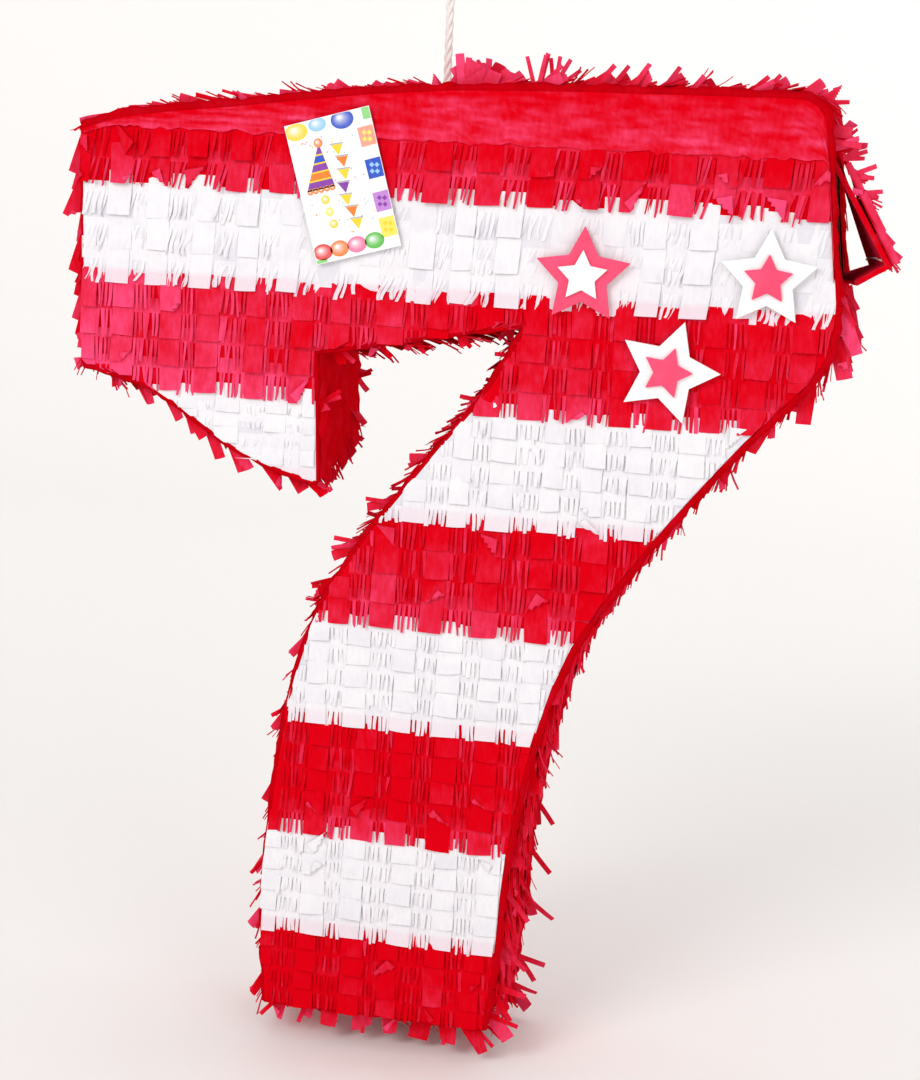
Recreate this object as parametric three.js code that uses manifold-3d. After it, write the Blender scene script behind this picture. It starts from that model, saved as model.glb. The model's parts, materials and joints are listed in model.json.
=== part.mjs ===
// Number-shaped hanging pinata: a flat figure seven made of two cut cards joined by
// nine card wall strips, covered in red and white tissue fringe, with a fill flap in the
// right-hand wall, foam stars and a card tag on the front, and a cord through the top wall.
//
// Millimetres. +X is to the right as the front is read, +Z is up, and the front faces -Y.
// The origin is where a hook bears inside the cord's loop. Inside the body group, z = 0 is
// the top of the card body at the cord.

import * as THREE from "three";
import * as BufferGeometryUtils from "three/addons/utils/BufferGeometryUtils.js";
import Module from "manifold-3d";

const wasm = await Module();
wasm.setup();

// ---- driving dimensions -------------------------------------------------------------

const DEPTH = 100; // front fringe face to back fringe face
const FACE_FRINGE = 3.2; // thickness that the fringe on the front and back takes up
const SIDE_FRINGE = 5; // the same on the walls
const PANEL = 4; // corrugated card of the front and back
const WALL = 3; // card of the wall strips
const GAP = 0.3; // between pieces that touch

// Corners of the figure, clockwise from the upper left, as x and z.
const UPPER_LEFT = [-213, -33];
const RIGHT_TOP = [230, -13];
const RIGHT_LOW = [242, -112];
const BASE_RIGHT = [58, -578];
const BASE_LEFT = [-85, -578];
const INNER_CORNER = [66, -133];
const LIP_ROOT = [-64, -158];
const LIP_TIP = [-61, -237];
const LIP_OUTER = [-211, -175];

// Lower edges of the colour bands, from the top one down.
const BAND_ENDS = [-64, -123, -188, -256, -323, -388, -461, -527, -579];
const LIP_SPLIT_X = -45; // the fourth band is in two pieces, one each side of this
const LIP_RISE = 22; // how much higher the lip's tip is at the back than at the front
const LIP_STEPS = 10; // from front to back in the strips under the lip, which twist

// Fill opening and its flap, measured down the right wall and across its depth.
const HINGE_DOWN = 12; // from the wall's top end to the fold
const OPENING_LENGTH = 80;
const OPENING_WIDTH = 66;
const FLAP_LENGTH = 75;
const FLAP_WIDTH = 62;
const FLAP_CARD = 2.7;
const TAB_LENGTH = 22; // tuck tab, folded inwards off the flap's lower end
const FLAP_OPEN = 20; // degrees that the flap stands open
const FLAP_WARP = 5; // degrees more at its front edge and less at its back edge
const FLAP_TISSUE = 3;
const FLAP_TISSUE_START = 4; // from the fold
const FRINGE_CLEARANCE = 8; // wall fringe left off above the fold, so that the flap can lift

// Cord, its knots and its loop. Heights are above z = 0 of the body.
const CORD = 5;
const CORD_HOLE = 6.4;
const LOOP_BEARING = 96; // where the hook bears
const LOOP_HALF_WIDTH = 13;
const LOOP_KNOT_HEIGHT = 60;
const KNOT_RADIUS = 7.5;
const KNOT_HALF_HEIGHT = 6;
const ANCHOR = [56, 40, 4]; // card plate glued under the top wall
const ANCHOR_ROOM = 0.6; // glue line between the plate and the curved wall

const FOAM = 2; // one layer of a star
const STAR_NOTCH = 0.51; // notch radius over point radius
const STARS = [
  { name: "star_left", x: 96.6, z: -103, radius: 29, inner: 15.4, turn: 0, outerRed: true },
  { name: "star_right", x: 203.3, z: -98.5, radius: 29, inner: 14.6, turn: 0, outerRed: false },
  { name: "star_low", x: 149, z: -155.3, radius: 31, inner: 15.2, turn: -88, outerRed: false },
];
const TAG = { x: -49, z: -59, width: 53, height: 83, turn: 15.8, card: 0.6 };

const RED = 0xdd0f2d;
const WHITE = 0xf6f4f6;

// ---- helpers ------------------------------------------------------------------------

const vector = ([x, z]) => new THREE.Vector2(x, z);

function straight(a, b) {
  return [vector(a), vector(b)];
}

// A smooth curve through hand-picked points, in the given number of steps.
function smooth(points, steps) {
  return new THREE.SplineCurve(points.map(vector)).getPoints(steps);
}

function material(color, roughness, metalness = 0) {
  return new THREE.MeshStandardMaterial({ color, roughness, metalness });
}

const tissue = (color) => material(color, 0.75);
const card = () => material(0xb08a5e, 0.9);
const foam = (color) => material(color, 0.6);

function named(name, geometry, finish) {
  const mesh = new THREE.Mesh(geometry, finish);
  mesh.name = name;
  return mesh;
}

// An outline in x and z, pushed from y = front to y = back.
function slab(name, outline, front, back, finish, steps = 1) {
  const geometry = new THREE.ExtrudeGeometry(new THREE.Shape(outline), {
    depth: back - front,
    steps,
    bevelEnabled: false,
  });
  const mesh = named(name, geometry, finish);
  mesh.rotation.x = Math.PI / 2;
  mesh.position.y = back;
  return mesh;
}

// The solid that a mesh stands for, in the body group's axes.
function solid(mesh) {
  mesh.updateMatrix();
  const geometry = mesh.geometry.clone();
  geometry.deleteAttribute("normal");
  geometry.deleteAttribute("uv");
  geometry.applyMatrix4(mesh.matrix);
  const merged = BufferGeometryUtils.mergeVertices(geometry, 1e-4);
  return new wasm.Manifold(
    new wasm.Mesh({
      numProp: 3,
      vertProperties: new Float32Array(merged.attributes.position.array),
      triVerts: new Uint32Array(merged.index.array),
    }),
  );
}

function fromSolid(name, body, finish) {
  const result = body.getMesh();
  const geometry = new THREE.BufferGeometry();
  geometry.setAttribute("position", new THREE.BufferAttribute(result.vertProperties, 3));
  geometry.setIndex(new THREE.BufferAttribute(result.triVerts, 1));
  geometry.computeVertexNormals();
  return named(name, geometry, finish);
}

function cut(mesh, ...cutters) {
  const body = cutters.reduce((left, cutter) => left.subtract(solid(cutter)), solid(mesh));
  return fromSolid(mesh.name, body, mesh.material);
}

// ---- outline ------------------------------------------------------------------------

// The nine edges of the figure in order, each from one corner to the next.
function edges() {
  return {
    top: [
      ...smooth([UPPER_LEFT, [-181, -24], [-118, -16], [14, -1], [208, 3]], 12),
      ...new THREE.QuadraticBezierCurve(
        vector([208, 3]),
        vector([228, 4]),
        vector(RIGHT_TOP),
      ).getPoints(4).slice(1),
    ],
    right: straight(RIGHT_TOP, RIGHT_LOW),
    outer_leg: smooth(
      [
        RIGHT_LOW, [236, -148], [196, -193], [145, -258], [101, -326],
        [80, -390], [67, -463], [63, -528], BASE_RIGHT,
      ],
      20,
    ),
    base: straight(BASE_RIGHT, BASE_LEFT),
    inner_leg: smooth(
      [BASE_LEFT, [-87, -495], [-75, -383], [-49, -302], [10, -218], [41, -178], INNER_CORNER],
      16,
    ),
    underbar: straight(INNER_CORNER, LIP_ROOT),
    lip_inner: straight(LIP_ROOT, LIP_TIP),
    lip_bottom: smooth([LIP_TIP, [-108, -223], [-165, -188], LIP_OUTER], 12),
    left: straight(LIP_OUTER, UPPER_LEFT),
  };
}

const EDGES = edges();

// All edges as one closed loop, with where each edge starts and ends in it.
function joinEdges() {
  const loop = [];
  const span = {};
  for (const [name, points] of Object.entries(EDGES)) {
    span[name] = [loop.length, loop.length + points.length - 1];
    loop.push(...points.slice(0, -1));
  }
  return { loop, span };
}

const { loop: LOOP, span: SPAN } = joinEdges();

// The loop moved outwards by a distance, with mitred corners.
function offsetLoop(distance) {
  const count = LOOP.length;
  return LOOP.map((point, i) => {
    const before = LOOP[(i + count - 1) % count];
    const after = LOOP[(i + 1) % count];
    const a = point.clone().sub(before).normalize();
    const b = after.clone().sub(point).normalize();
    const normalA = new THREE.Vector2(-a.y, a.x);
    const normalB = new THREE.Vector2(-b.y, b.x);
    const middle = normalA.clone().add(normalB).normalize();
    return point.clone().addScaledVector(middle, distance / middle.dot(normalA));
  });
}

// The outline of a strip that follows one edge, between two distances outside it.
function strip(edge, inside, outside) {
  const [start, end] = SPAN[edge];
  const row = (distance) => {
    const moved = offsetLoop(distance);
    const points = [];
    for (let i = start; i <= end; i += 1) points.push(moved[i % moved.length].clone());
    return points;
  };
  const shorten = (points) => {
    const last = points.length - 1;
    const first = points[1].clone().sub(points[0]).setLength(GAP / 1.5);
    const final = points[last - 1].clone().sub(points[last]).setLength(GAP / 1.5);
    points[0].add(first);
    points[last].add(final);
    return points;
  };
  return [...shorten(row(outside)), ...shorten(row(inside)).reverse()];
}

// ---- card body ----------------------------------------------------------------------

const FACE = DEPTH / 2; // y of the outermost fringe face
const PANEL_FACE = FACE - FACE_FRINGE - GAP; // y of the panel's outer face
const WALL_FACE = PANEL_FACE - PANEL - GAP; // y of the wall strips' edges

function panel(name, side) {
  const near = side * (WALL_FACE + GAP);
  const far = side * PANEL_FACE;
  return slab(name, LOOP, Math.min(near, far), Math.max(near, far), card());
}

// Moves a piece's points up by how far back, how low and how near the tip of the lip they are.
function liftLip(mesh) {
  const share = (value, from, to) => THREE.MathUtils.clamp((value - from) / (to - from), 0, 1);
  const positions = mesh.geometry.attributes.position;
  const point = new THREE.Vector3();
  mesh.updateMatrix();
  const inverse = mesh.matrix.clone().invert();
  for (let i = 0; i < positions.count; i += 1) {
    point.fromBufferAttribute(positions, i).applyMatrix4(mesh.matrix);
    if (point.x > LIP_SPLIT_X || point.z < BAND_ENDS[3]) continue;
    const back = share(point.y, -PANEL_FACE, PANEL_FACE);
    const low = share(point.z, LIP_ROOT[1], LIP_TIP[1]);
    const along = share(point.x, LIP_OUTER[0], LIP_TIP[0]);
    point.z += LIP_RISE * back * low * along;
    point.applyMatrix4(inverse);
    positions.setXYZ(i, point.x, point.y, point.z);
  }
  mesh.geometry.computeVertexNormals();
  return mesh;
}

const RIGHT_AXIS = vector(RIGHT_LOW).sub(vector(RIGHT_TOP)).normalize();
const HINGE = vector(RIGHT_TOP).addScaledVector(RIGHT_AXIS, HINGE_DOWN);

// A box through the right wall, from one distance down the fold to another.
function openingCutter(from, to, width) {
  const mesh = named("cutter", new THREE.BoxGeometry(60, width, to - from), card());
  const middle = HINGE.clone().addScaledVector(RIGHT_AXIS, (from + to) / 2);
  mesh.position.set(middle.x, 0, middle.y);
  mesh.rotation.y = -Math.atan2(RIGHT_AXIS.x, -RIGHT_AXIS.y);
  return mesh;
}

function cordCutter() {
  const mesh = named("cutter", new THREE.CylinderGeometry(CORD_HOLE / 2, CORD_HOLE / 2, 60, 16), card());
  mesh.rotation.x = Math.PI / 2;
  return mesh;
}

function wall(edge) {
  const steps = edge === "lip_bottom" ? LIP_STEPS : 1;
  const mesh = slab(`${edge}_wall`, strip(edge, -WALL, 0), -WALL_FACE, WALL_FACE, card(), steps);
  if (edge === "right") return cut(mesh, openingCutter(0, OPENING_LENGTH, OPENING_WIDTH));
  if (edge === "top") return cut(mesh, cordCutter());
  return mesh;
}

// ---- tissue -------------------------------------------------------------------------

function sideFringe(edge) {
  const outline = strip(edge, GAP, SIDE_FRINGE + GAP);
  const steps = edge === "lip_bottom" ? LIP_STEPS : 1;
  const mesh = slab(`${edge}_fringe`, outline, -PANEL_FACE, PANEL_FACE, tissue(RED), steps);
  if (edge === "right") {
    return cut(mesh, openingCutter(-FRINGE_CLEARANCE, OPENING_LENGTH, OPENING_WIDTH));
  }
  if (edge === "top") return cut(mesh, cordCutter());
  return mesh;
}

// One colour band of the front or back: the figure between two heights and two widths.
function band(name, side, top, bottom, left, right, finish) {
  const near = side * (PANEL_FACE + GAP);
  const far = side * FACE;
  const face = slab(name, LOOP, Math.min(near, far), Math.max(near, far), finish);
  const window = named("window", new THREE.BoxGeometry(right - left, DEPTH * 2, top - bottom), finish);
  window.position.set((left + right) / 2, 0, (top + bottom) / 2);
  return fromSolid(name, solid(face).intersect(solid(window)), finish);
}

function faceBands(prefix, side) {
  const wide = 300;
  const bands = [];
  BAND_ENDS.forEach((end, index) => {
    const top = index === 0 ? 20 : BAND_ENDS[index - 1] - GAP / 2;
    const bottom = end + GAP / 2;
    const finish = () => tissue(index % 2 === 0 ? RED : WHITE);
    const name = `${prefix}_fringe_${index + 1}`;
    if (index === 3) {
      bands.push(band(`${name}_leg`, side, top, bottom, LIP_SPLIT_X, wide, finish()));
      bands.push(band(`${name}_lip`, side, top, bottom, -wide, LIP_SPLIT_X, finish()));
    } else {
      bands.push(band(name, side, top, bottom, -wide, wide, finish()));
    }
  });
  return bands;
}

// ---- fill flap ----------------------------------------------------------------------

// A section in distances out from the wall and down from the fold, carried across the
// flap's width. It swings open about the fold, a little further towards the back.
function warpedSlab(name, section, finish) {
  const steps = 4;
  const count = section.length;
  const positions = [];
  for (let i = 0; i <= steps; i += 1) {
    const across = i / steps - 0.5;
    const angle = THREE.MathUtils.degToRad(FLAP_OPEN - 2 * FLAP_WARP * across);
    for (const [out, down] of section) {
      const x = out * Math.cos(angle) + down * Math.sin(angle);
      const z = out * Math.sin(angle) - down * Math.cos(angle);
      positions.push(x, across * FLAP_WIDTH, z);
    }
  }
  const triangles = [];
  for (let i = 0; i < steps; i += 1) {
    for (let j = 0; j < count; j += 1) {
      const a = i * count + j;
      const b = i * count + ((j + 1) % count);
      triangles.push(a, a + count, b, a + count, b + count, b);
    }
  }
  const faces = THREE.ShapeUtils.triangulateShape(section.map(vector), []);
  const last = steps * count;
  for (const [a, b, c] of faces) triangles.push(a, c, b, last + a, last + b, last + c);
  const geometry = new THREE.BufferGeometry();
  geometry.setAttribute("position", new THREE.Float32BufferAttribute(positions, 3));
  geometry.setIndex(triangles);
  geometry.computeVertexNormals();
  return named(name, geometry, finish);
}

function flapCard() {
  const section = [
    [0, 1], [-FLAP_CARD, 1], [-FLAP_CARD, FLAP_LENGTH - FLAP_CARD],
    [-TAB_LENGTH, FLAP_LENGTH - FLAP_CARD], [-TAB_LENGTH, FLAP_LENGTH], [0, FLAP_LENGTH],
  ];
  return warpedSlab("fill_flap", section, card());
}

function flapTissue() {
  const out = GAP + FLAP_TISSUE;
  const section = [
    [out, FLAP_TISSUE_START], [GAP, FLAP_TISSUE_START], [GAP, FLAP_LENGTH], [out, FLAP_LENGTH],
  ];
  return warpedSlab("flap_tissue", section, tissue(RED));
}

// The flap in its own group, which stands at the fold and leans with the right wall.
function fillFlap() {
  const group = new THREE.Group();
  group.position.set(HINGE.x, 0, HINGE.y);
  group.rotation.y = -Math.atan2(RIGHT_AXIS.x, -RIGHT_AXIS.y);
  group.add(flapCard(), flapTissue());
  return group;
}

// ---- cord ---------------------------------------------------------------------------

const cotton = () => material(0xfaf8f2, 0.85);

function tube(name, curve, steps, sides) {
  const section = new THREE.Shape(
    new THREE.EllipseCurve(0, 0, CORD / 2, CORD / 2).getPoints(sides).slice(0, sides),
  );
  const geometry = new THREE.ExtrudeGeometry(section, { extrudePath: curve, steps });
  return named(name, geometry, cotton());
}

function knot(name, height) {
  const mesh = named(name, new THREE.SphereGeometry(KNOT_RADIUS, 16, 10), cotton());
  mesh.scale.z = KNOT_HALF_HEIGHT / KNOT_RADIUS;
  mesh.position.z = height;
  return mesh;
}

// Height of the top edge at a given x.
function topHeight(x) {
  const after = EDGES.top.findIndex((point) => point.x > x);
  const [a, b] = [EDGES.top[after - 1], EDGES.top[after]];
  return THREE.MathUtils.mapLinear(x, a.x, b.x, a.y, b.y);
}

const ANCHOR_ENDS = [topHeight(-ANCHOR[0] / 2), topHeight(ANCHOR[0] / 2)];
const ANCHOR_SLOPE = Math.atan2(ANCHOR_ENDS[1] - ANCHOR_ENDS[0], ANCHOR[0]);
const ANCHOR_HEIGHT = (ANCHOR_ENDS[0] + ANCHOR_ENDS[1]) / 2 - WALL - ANCHOR_ROOM - ANCHOR[2] / 2;
const INNER_KNOT_HEIGHT = ANCHOR_HEIGHT - ANCHOR[2] / 2 - ANCHOR_ROOM - KNOT_HALF_HEIGHT;

function hangingCord() {
  const low = new THREE.Vector3(0, 0, INNER_KNOT_HEIGHT + KNOT_HALF_HEIGHT + GAP);
  const high = new THREE.Vector3(0, 0, LOOP_KNOT_HEIGHT - KNOT_HALF_HEIGHT - GAP);
  return tube("hanging_cord", new THREE.LineCurve3(low, high), 6, 12);
}

function cordLoop() {
  const foot = LOOP_KNOT_HEIGHT + KNOT_HALF_HEIGHT + 2 * GAP;
  const crown = LOOP_BEARING + CORD / 2;
  const widest = foot + 0.58 * (crown - foot);
  const points = [[-3.2, foot], [-LOOP_HALF_WIDTH, widest], [0, crown], [LOOP_HALF_WIDTH, widest], [3.2, foot]];
  const curve = new THREE.CatmullRomCurve3(points.map(([x, z]) => new THREE.Vector3(x, 0, z)));
  return tube("cord_loop", curve, 20, 12);
}

function cordAnchor() {
  const mesh = named("cord_anchor", new THREE.BoxGeometry(...ANCHOR), card());
  mesh.position.z = ANCHOR_HEIGHT;
  mesh.rotation.y = -ANCHOR_SLOPE;
  return cut(mesh, cordCutter());
}

// ---- trim ---------------------------------------------------------------------------

function starOutline(radius, turn) {
  const points = [];
  for (let i = 0; i < 10; i += 1) {
    const angle = THREE.MathUtils.degToRad(90 + turn + 36 * i);
    const reach = i % 2 === 0 ? radius : radius * STAR_NOTCH;
    points.push(new THREE.Vector2(reach * Math.cos(angle), reach * Math.sin(angle)));
  }
  return points;
}

function star({ name, x, z, radius, inner, turn, outerRed }) {
  const group = new THREE.Group();
  group.position.set(x, -FACE, z);
  const base = slab(`${name}_base`, starOutline(radius, turn), -GAP - FOAM, -GAP, foam(outerRed ? RED : WHITE));
  const top = slab(
    `${name}_top`,
    starOutline(inner, turn),
    -2 * (GAP + FOAM),
    -2 * GAP - FOAM,
    foam(outerRed ? WHITE : RED),
  );
  group.add(base, top);
  return group;
}

function tagCard() {
  const mesh = named("tag_card", new THREE.BoxGeometry(TAG.width, TAG.card, TAG.height), material(0xffffff, 0.4));
  mesh.position.set(TAG.x, -FACE - GAP - TAG.card / 2, TAG.z);
  mesh.rotation.y = -THREE.MathUtils.degToRad(TAG.turn);
  return mesh;
}

// ---- assembly -----------------------------------------------------------------------

const body = new THREE.Group();
body.position.z = -LOOP_BEARING;
body.add(...[panel("front_panel", -1), panel("back_panel", 1)].map(liftLip));
for (const edge of Object.keys(EDGES)) body.add(...[wall(edge), sideFringe(edge)].map(liftLip));
body.add(...[...faceBands("front", -1), ...faceBands("back", 1)].map(liftLip));
body.add(fillFlap());
body.add(cordAnchor(), knot("inner_knot", INNER_KNOT_HEIGHT), hangingCord());
body.add(knot("loop_knot", LOOP_KNOT_HEIGHT), cordLoop());
for (const spec of STARS) body.add(star(spec));
body.add(tagCard());

const group = new THREE.Group();
group.add(body);

export default group;
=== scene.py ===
"""A figure-seven pinata: red and white tissue fringe over a card body, with foam stars,
a printed tag, a fill flap that stands ajar, and the cord that it hangs by."""

import bmesh
import bpy
import json
import math
import random

import numpy as np
from mathutils import Matrix, Vector, noise


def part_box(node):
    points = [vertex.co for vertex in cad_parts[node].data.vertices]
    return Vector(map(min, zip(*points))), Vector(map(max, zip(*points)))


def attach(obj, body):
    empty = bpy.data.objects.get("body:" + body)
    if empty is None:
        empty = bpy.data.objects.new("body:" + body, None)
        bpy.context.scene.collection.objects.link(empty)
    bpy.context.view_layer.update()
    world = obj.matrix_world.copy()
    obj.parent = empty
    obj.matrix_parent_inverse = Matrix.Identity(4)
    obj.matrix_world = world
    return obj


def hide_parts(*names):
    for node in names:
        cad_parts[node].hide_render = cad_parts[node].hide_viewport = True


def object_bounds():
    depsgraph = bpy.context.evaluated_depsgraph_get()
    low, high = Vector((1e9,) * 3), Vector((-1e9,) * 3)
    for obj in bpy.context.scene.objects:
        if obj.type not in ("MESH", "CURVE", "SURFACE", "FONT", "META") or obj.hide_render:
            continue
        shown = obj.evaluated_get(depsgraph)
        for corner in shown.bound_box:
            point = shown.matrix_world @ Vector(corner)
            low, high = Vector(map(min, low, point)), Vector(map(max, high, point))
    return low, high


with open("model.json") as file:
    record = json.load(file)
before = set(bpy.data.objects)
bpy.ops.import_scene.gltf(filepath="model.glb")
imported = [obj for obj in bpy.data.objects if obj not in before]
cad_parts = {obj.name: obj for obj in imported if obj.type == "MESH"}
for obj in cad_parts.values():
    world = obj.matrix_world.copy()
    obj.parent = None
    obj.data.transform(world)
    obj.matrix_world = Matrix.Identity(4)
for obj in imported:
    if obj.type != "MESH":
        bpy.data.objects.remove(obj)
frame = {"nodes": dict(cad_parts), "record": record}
cad_low, cad_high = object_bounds()

MM = 0.001

# ---- objects and meshes ---------------------------------------------------------------

CREASE_ANGLE = math.radians(50)  # paper folded by more than this keeps a sharp edge
ALONG_X = np.array([1.0, 0, 0])
ALONG_Y = np.array([0, 1.0, 0])
TO_FRONT = np.array([0, -1.0, 0])


def add_object(name, data):
    item = bpy.data.objects.new(name, data)
    bpy.context.scene.collection.objects.link(item)
    return item


def add_piece(name, mesh, slot_name, body):
    """The object of a finished mesh, in its material, riding on one of the frame's bodies."""
    mesh.materials.append(MATERIALS[slot_name])
    piece = add_object(name, mesh)
    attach(piece, body)
    return piece


def make_mesh(name, vertices, faces):
    mesh = bpy.data.meshes.new(name)
    mesh.from_pydata(np.array(vertices).tolist(), [], faces)
    mesh.update()
    return mesh


def shade_smooth(mesh):
    mesh.polygons.foreach_set("use_smooth", [True] * len(mesh.polygons))


def paint(mesh, colours):
    """Keeps a colour for each vertex, which the materials read as tone."""
    layer = mesh.color_attributes.new("tone", "FLOAT_COLOR", "POINT")
    layer.data.foreach_set("color", np.array(colours, np.float32).ravel())


# ---- camera ---------------------------------------------------------------------------

VIEW_AZIMUTH = 12
VIEW_ELEVATION = 12
VIEW_ROLL = 2.5  # the figure hangs with its right side this much lower
VIEW_DISTANCE = 1373 * MM
VIEW_LENS = 73.33
VIEW_SENSOR = 36
VIEW_TARGET = Vector((20, 0, -372)) * MM


def make_camera():
    data = bpy.data.cameras.new("camera")
    data.lens = VIEW_LENS
    data.sensor_width = VIEW_SENSOR
    camera = add_object("camera", data)
    a, e = math.radians(VIEW_AZIMUTH), math.radians(VIEW_ELEVATION)
    back = Vector((math.sin(a) * math.cos(e), -math.cos(a) * math.cos(e), math.sin(e)))
    right = Vector((math.cos(a), math.sin(a), 0))
    up = back.cross(right)
    turn = Matrix.Rotation(math.radians(VIEW_ROLL), 3, back)
    right, up = turn @ right, turn @ up
    pose = Matrix((right, up, back)).transposed().to_4x4()
    pose.translation = VIEW_TARGET + back * VIEW_DISTANCE
    camera.matrix_world = pose
    bpy.context.scene.camera = camera


make_camera()

# ---- materials ------------------------------------------------------------------------


class Nodes:
    """A material's node tree, with short calls to add and join nodes."""

    def __init__(self, name):
        self.material = bpy.data.materials.new(name)
        self.material.use_nodes = True
        self.tree = self.material.node_tree
        self.shader = self.tree.nodes["Principled BSDF"]
        self.place = self.add("ShaderNodeTexCoord").outputs["Object"]

    def add(self, kind, **inputs):
        node = self.tree.nodes.new(kind)
        for name, value in inputs.items():
            node.inputs[name.replace("_", " ")].default_value = value
        return node

    def join(self, source, target):
        self.tree.links.new(source, target)

    def set(self, **values):
        for name, value in values.items():
            self.shader.inputs[name.replace("_", " ")].default_value = value

    def noise(self, size, detail=3, stretch=(1, 1, 1), roughness=0.5):
        """Noise whose features are about size across, in metres."""
        mapping = self.add("ShaderNodeMapping")
        mapping.inputs["Scale"].default_value = [s / size for s in stretch]
        self.join(self.place, mapping.inputs["Vector"])
        node = self.add("ShaderNodeTexNoise", Scale=1.0, Detail=detail, Roughness=roughness)
        self.join(mapping.outputs["Vector"], node.inputs["Vector"])
        return node.outputs["Fac"]

    def remap(self, value, low, high, to_low=0.0, to_high=1.0):
        node = self.add(
            "ShaderNodeMapRange", From_Min=low, From_Max=high, To_Min=to_low, To_Max=to_high,
        )
        self.join(value, node.inputs["Value"])
        return node.outputs["Result"]

    def math(self, kind, a, b):
        node = self.add("ShaderNodeMath")
        node.operation = kind
        for socket, value in zip(node.inputs, (a, b)):
            if isinstance(value, (int, float)):
                socket.default_value = value
            else:
                self.join(value, socket)
        return node.outputs["Value"]

    def mix(self, factor, a, b):
        node = self.add("ShaderNodeMix")
        node.data_type = "RGBA"
        self.join(factor, node.inputs[0])
        for socket, value in zip((node.inputs[6], node.inputs[7]), (a, b)):
            if isinstance(value, tuple):
                socket.default_value = (*value, 1)
            else:
                self.join(value, socket)
        return node.outputs[2]

    def channels(self, attribute):
        node = self.add("ShaderNodeAttribute")
        node.attribute_name = attribute
        split = self.add("ShaderNodeSeparateColor")
        self.join(node.outputs["Color"], split.inputs["Color"])
        return split.outputs

    def bump(self, height, strength, distance):
        node = self.add("ShaderNodeBump", Strength=strength, Distance=distance)
        self.join(height, node.inputs["Height"])
        self.join(node.outputs["Normal"], self.shader.inputs["Normal"])

    def colour(self, socket):
        self.join(socket, self.shader.inputs["Base Color"])


def tissue(name, deep, light, tint, contrast):
    """Tissue paper: deep to light by the piece's tone, blotched where glue soaked through."""
    m = Nodes(name)
    tone, tinted = m.channels("tone")[:2]
    blotch = m.remap(m.noise(15 * MM, detail=4), 0.35, 0.68, -0.12, 0.12)
    fine = m.remap(m.noise(2.5 * MM, detail=2, stretch=(1, 1, 0.35)), 0.3, 0.7, -0.1, 0.1)
    amount = m.math("ADD", m.math("ADD", tone, blotch), fine)
    share = m.math("POWER", m.remap(amount, 0, 1), contrast)
    # The tone's second channel mixes in the tint: for white tissue the pink of red showing through, for red
    # tissue a painted shade.
    m.colour(m.mix(tinted, m.mix(share, deep, light), tint))
    m.join(m.remap(m.noise(9 * MM), 0.3, 0.7, 0.45, 0.65), m.shader.inputs["Roughness"])
    creases = m.noise(5 * MM, detail=5, stretch=(1, 1, 0.5), roughness=0.62)
    m.bump(creases, 0.4, 0.9 * MM)
    m.set(Specular_IOR_Level=0)
    return m.material


FLUTE_PITCH = 6 * MM
WAVE_PERIOD = 6.283 / 20  # metres from crest to crest of a wave texture whose scale is 1


def card(name):
    """Kraft board: brown, flecked with fibres, with a faint rib from the fluting inside."""
    m = Nodes(name)
    fibres = m.noise(1.4 * MM, detail=4, stretch=(1, 1, 0.2))
    base = m.mix(m.remap(fibres, 0.3, 0.7), (0.36, 0.22, 0.115), (0.52, 0.36, 0.21))
    stain = m.remap(m.noise(35 * MM), 0.4, 0.7)
    m.colour(m.mix(stain, base, (0.43, 0.28, 0.155)))
    wave = m.add("ShaderNodeTexWave", Scale=WAVE_PERIOD / FLUTE_PITCH)
    m.join(m.place, wave.inputs["Vector"])
    m.bump(m.math("ADD", m.math("MULTIPLY", wave.outputs["Fac"], 0.4), fibres), 0.4, 0.25 * MM)
    m.set(Roughness=0.85, Specular_IOR_Level=0.25)
    return m.material


def foam(name, colour, shade):
    """Craft foam: smooth and matt, with fine closed pores."""
    m = Nodes(name)
    m.colour(m.mix(m.remap(m.noise(12 * MM), 0.35, 0.65), shade, colour))
    m.bump(m.noise(0.7 * MM, detail=2), 0.25, 0.12 * MM)
    m.join(m.remap(m.noise(4 * MM), 0.3, 0.7, 0.5, 0.65), m.shader.inputs["Roughness"])
    m.set(Specular_IOR_Level=0.35, Sheen_Weight=0.08)
    return m.material


def cotton(name):
    """Undyed cotton, matt and a little fuzzy."""
    m = Nodes(name)
    fibres = m.noise(0.5 * MM, detail=3, stretch=(1, 1, 0.3))
    m.colour(m.mix(m.remap(fibres, 0.3, 0.7), (0.83, 0.81, 0.77), (0.93, 0.92, 0.9)))
    m.bump(fibres, 0.5, 0.2 * MM)
    m.set(Roughness=0.85, Sheen_Weight=0.4, Sheen_Roughness=0.5, Specular_IOR_Level=0.2)
    return m.material


def coated_card(name):
    """The tag's white card, whose print is in its own colours."""
    m = Nodes(name)
    red, green, blue = m.channels("tone")[:3]
    ink = m.add("ShaderNodeCombineColor")
    for source, socket in zip((red, green, blue), ink.inputs):
        m.join(source, socket)
    grain = m.remap(m.noise(3 * MM, detail=4), 0.3, 0.7)
    m.colour(m.mix(m.remap(grain, 0, 1, 0, 0.05), ink.outputs["Color"], (0.85, 0.85, 0.84)))
    m.bump(m.noise(1.2 * MM), 0.1, 0.05 * MM)
    m.set(Roughness=0.38, Specular_IOR_Level=0.3)
    return m.material


# The red tissue's dark tint is painted shade, strongest on rolled edges and in the hollows of creases; the
# white tissue's deep lilac grey is its painted shade.
RED_DEEP, RED_LIGHT, RED_SHADE = (0.69, 0.0006, 0.007), (0.90, 0.068, 0.185), (0.36, 0.0, 0.002)
WHITE_SHADE, WHITE_LIGHT, PINK = (0.66, 0.645, 0.71), (0.87, 0.85, 0.87), (0.82, 0.64, 0.71)

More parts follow.
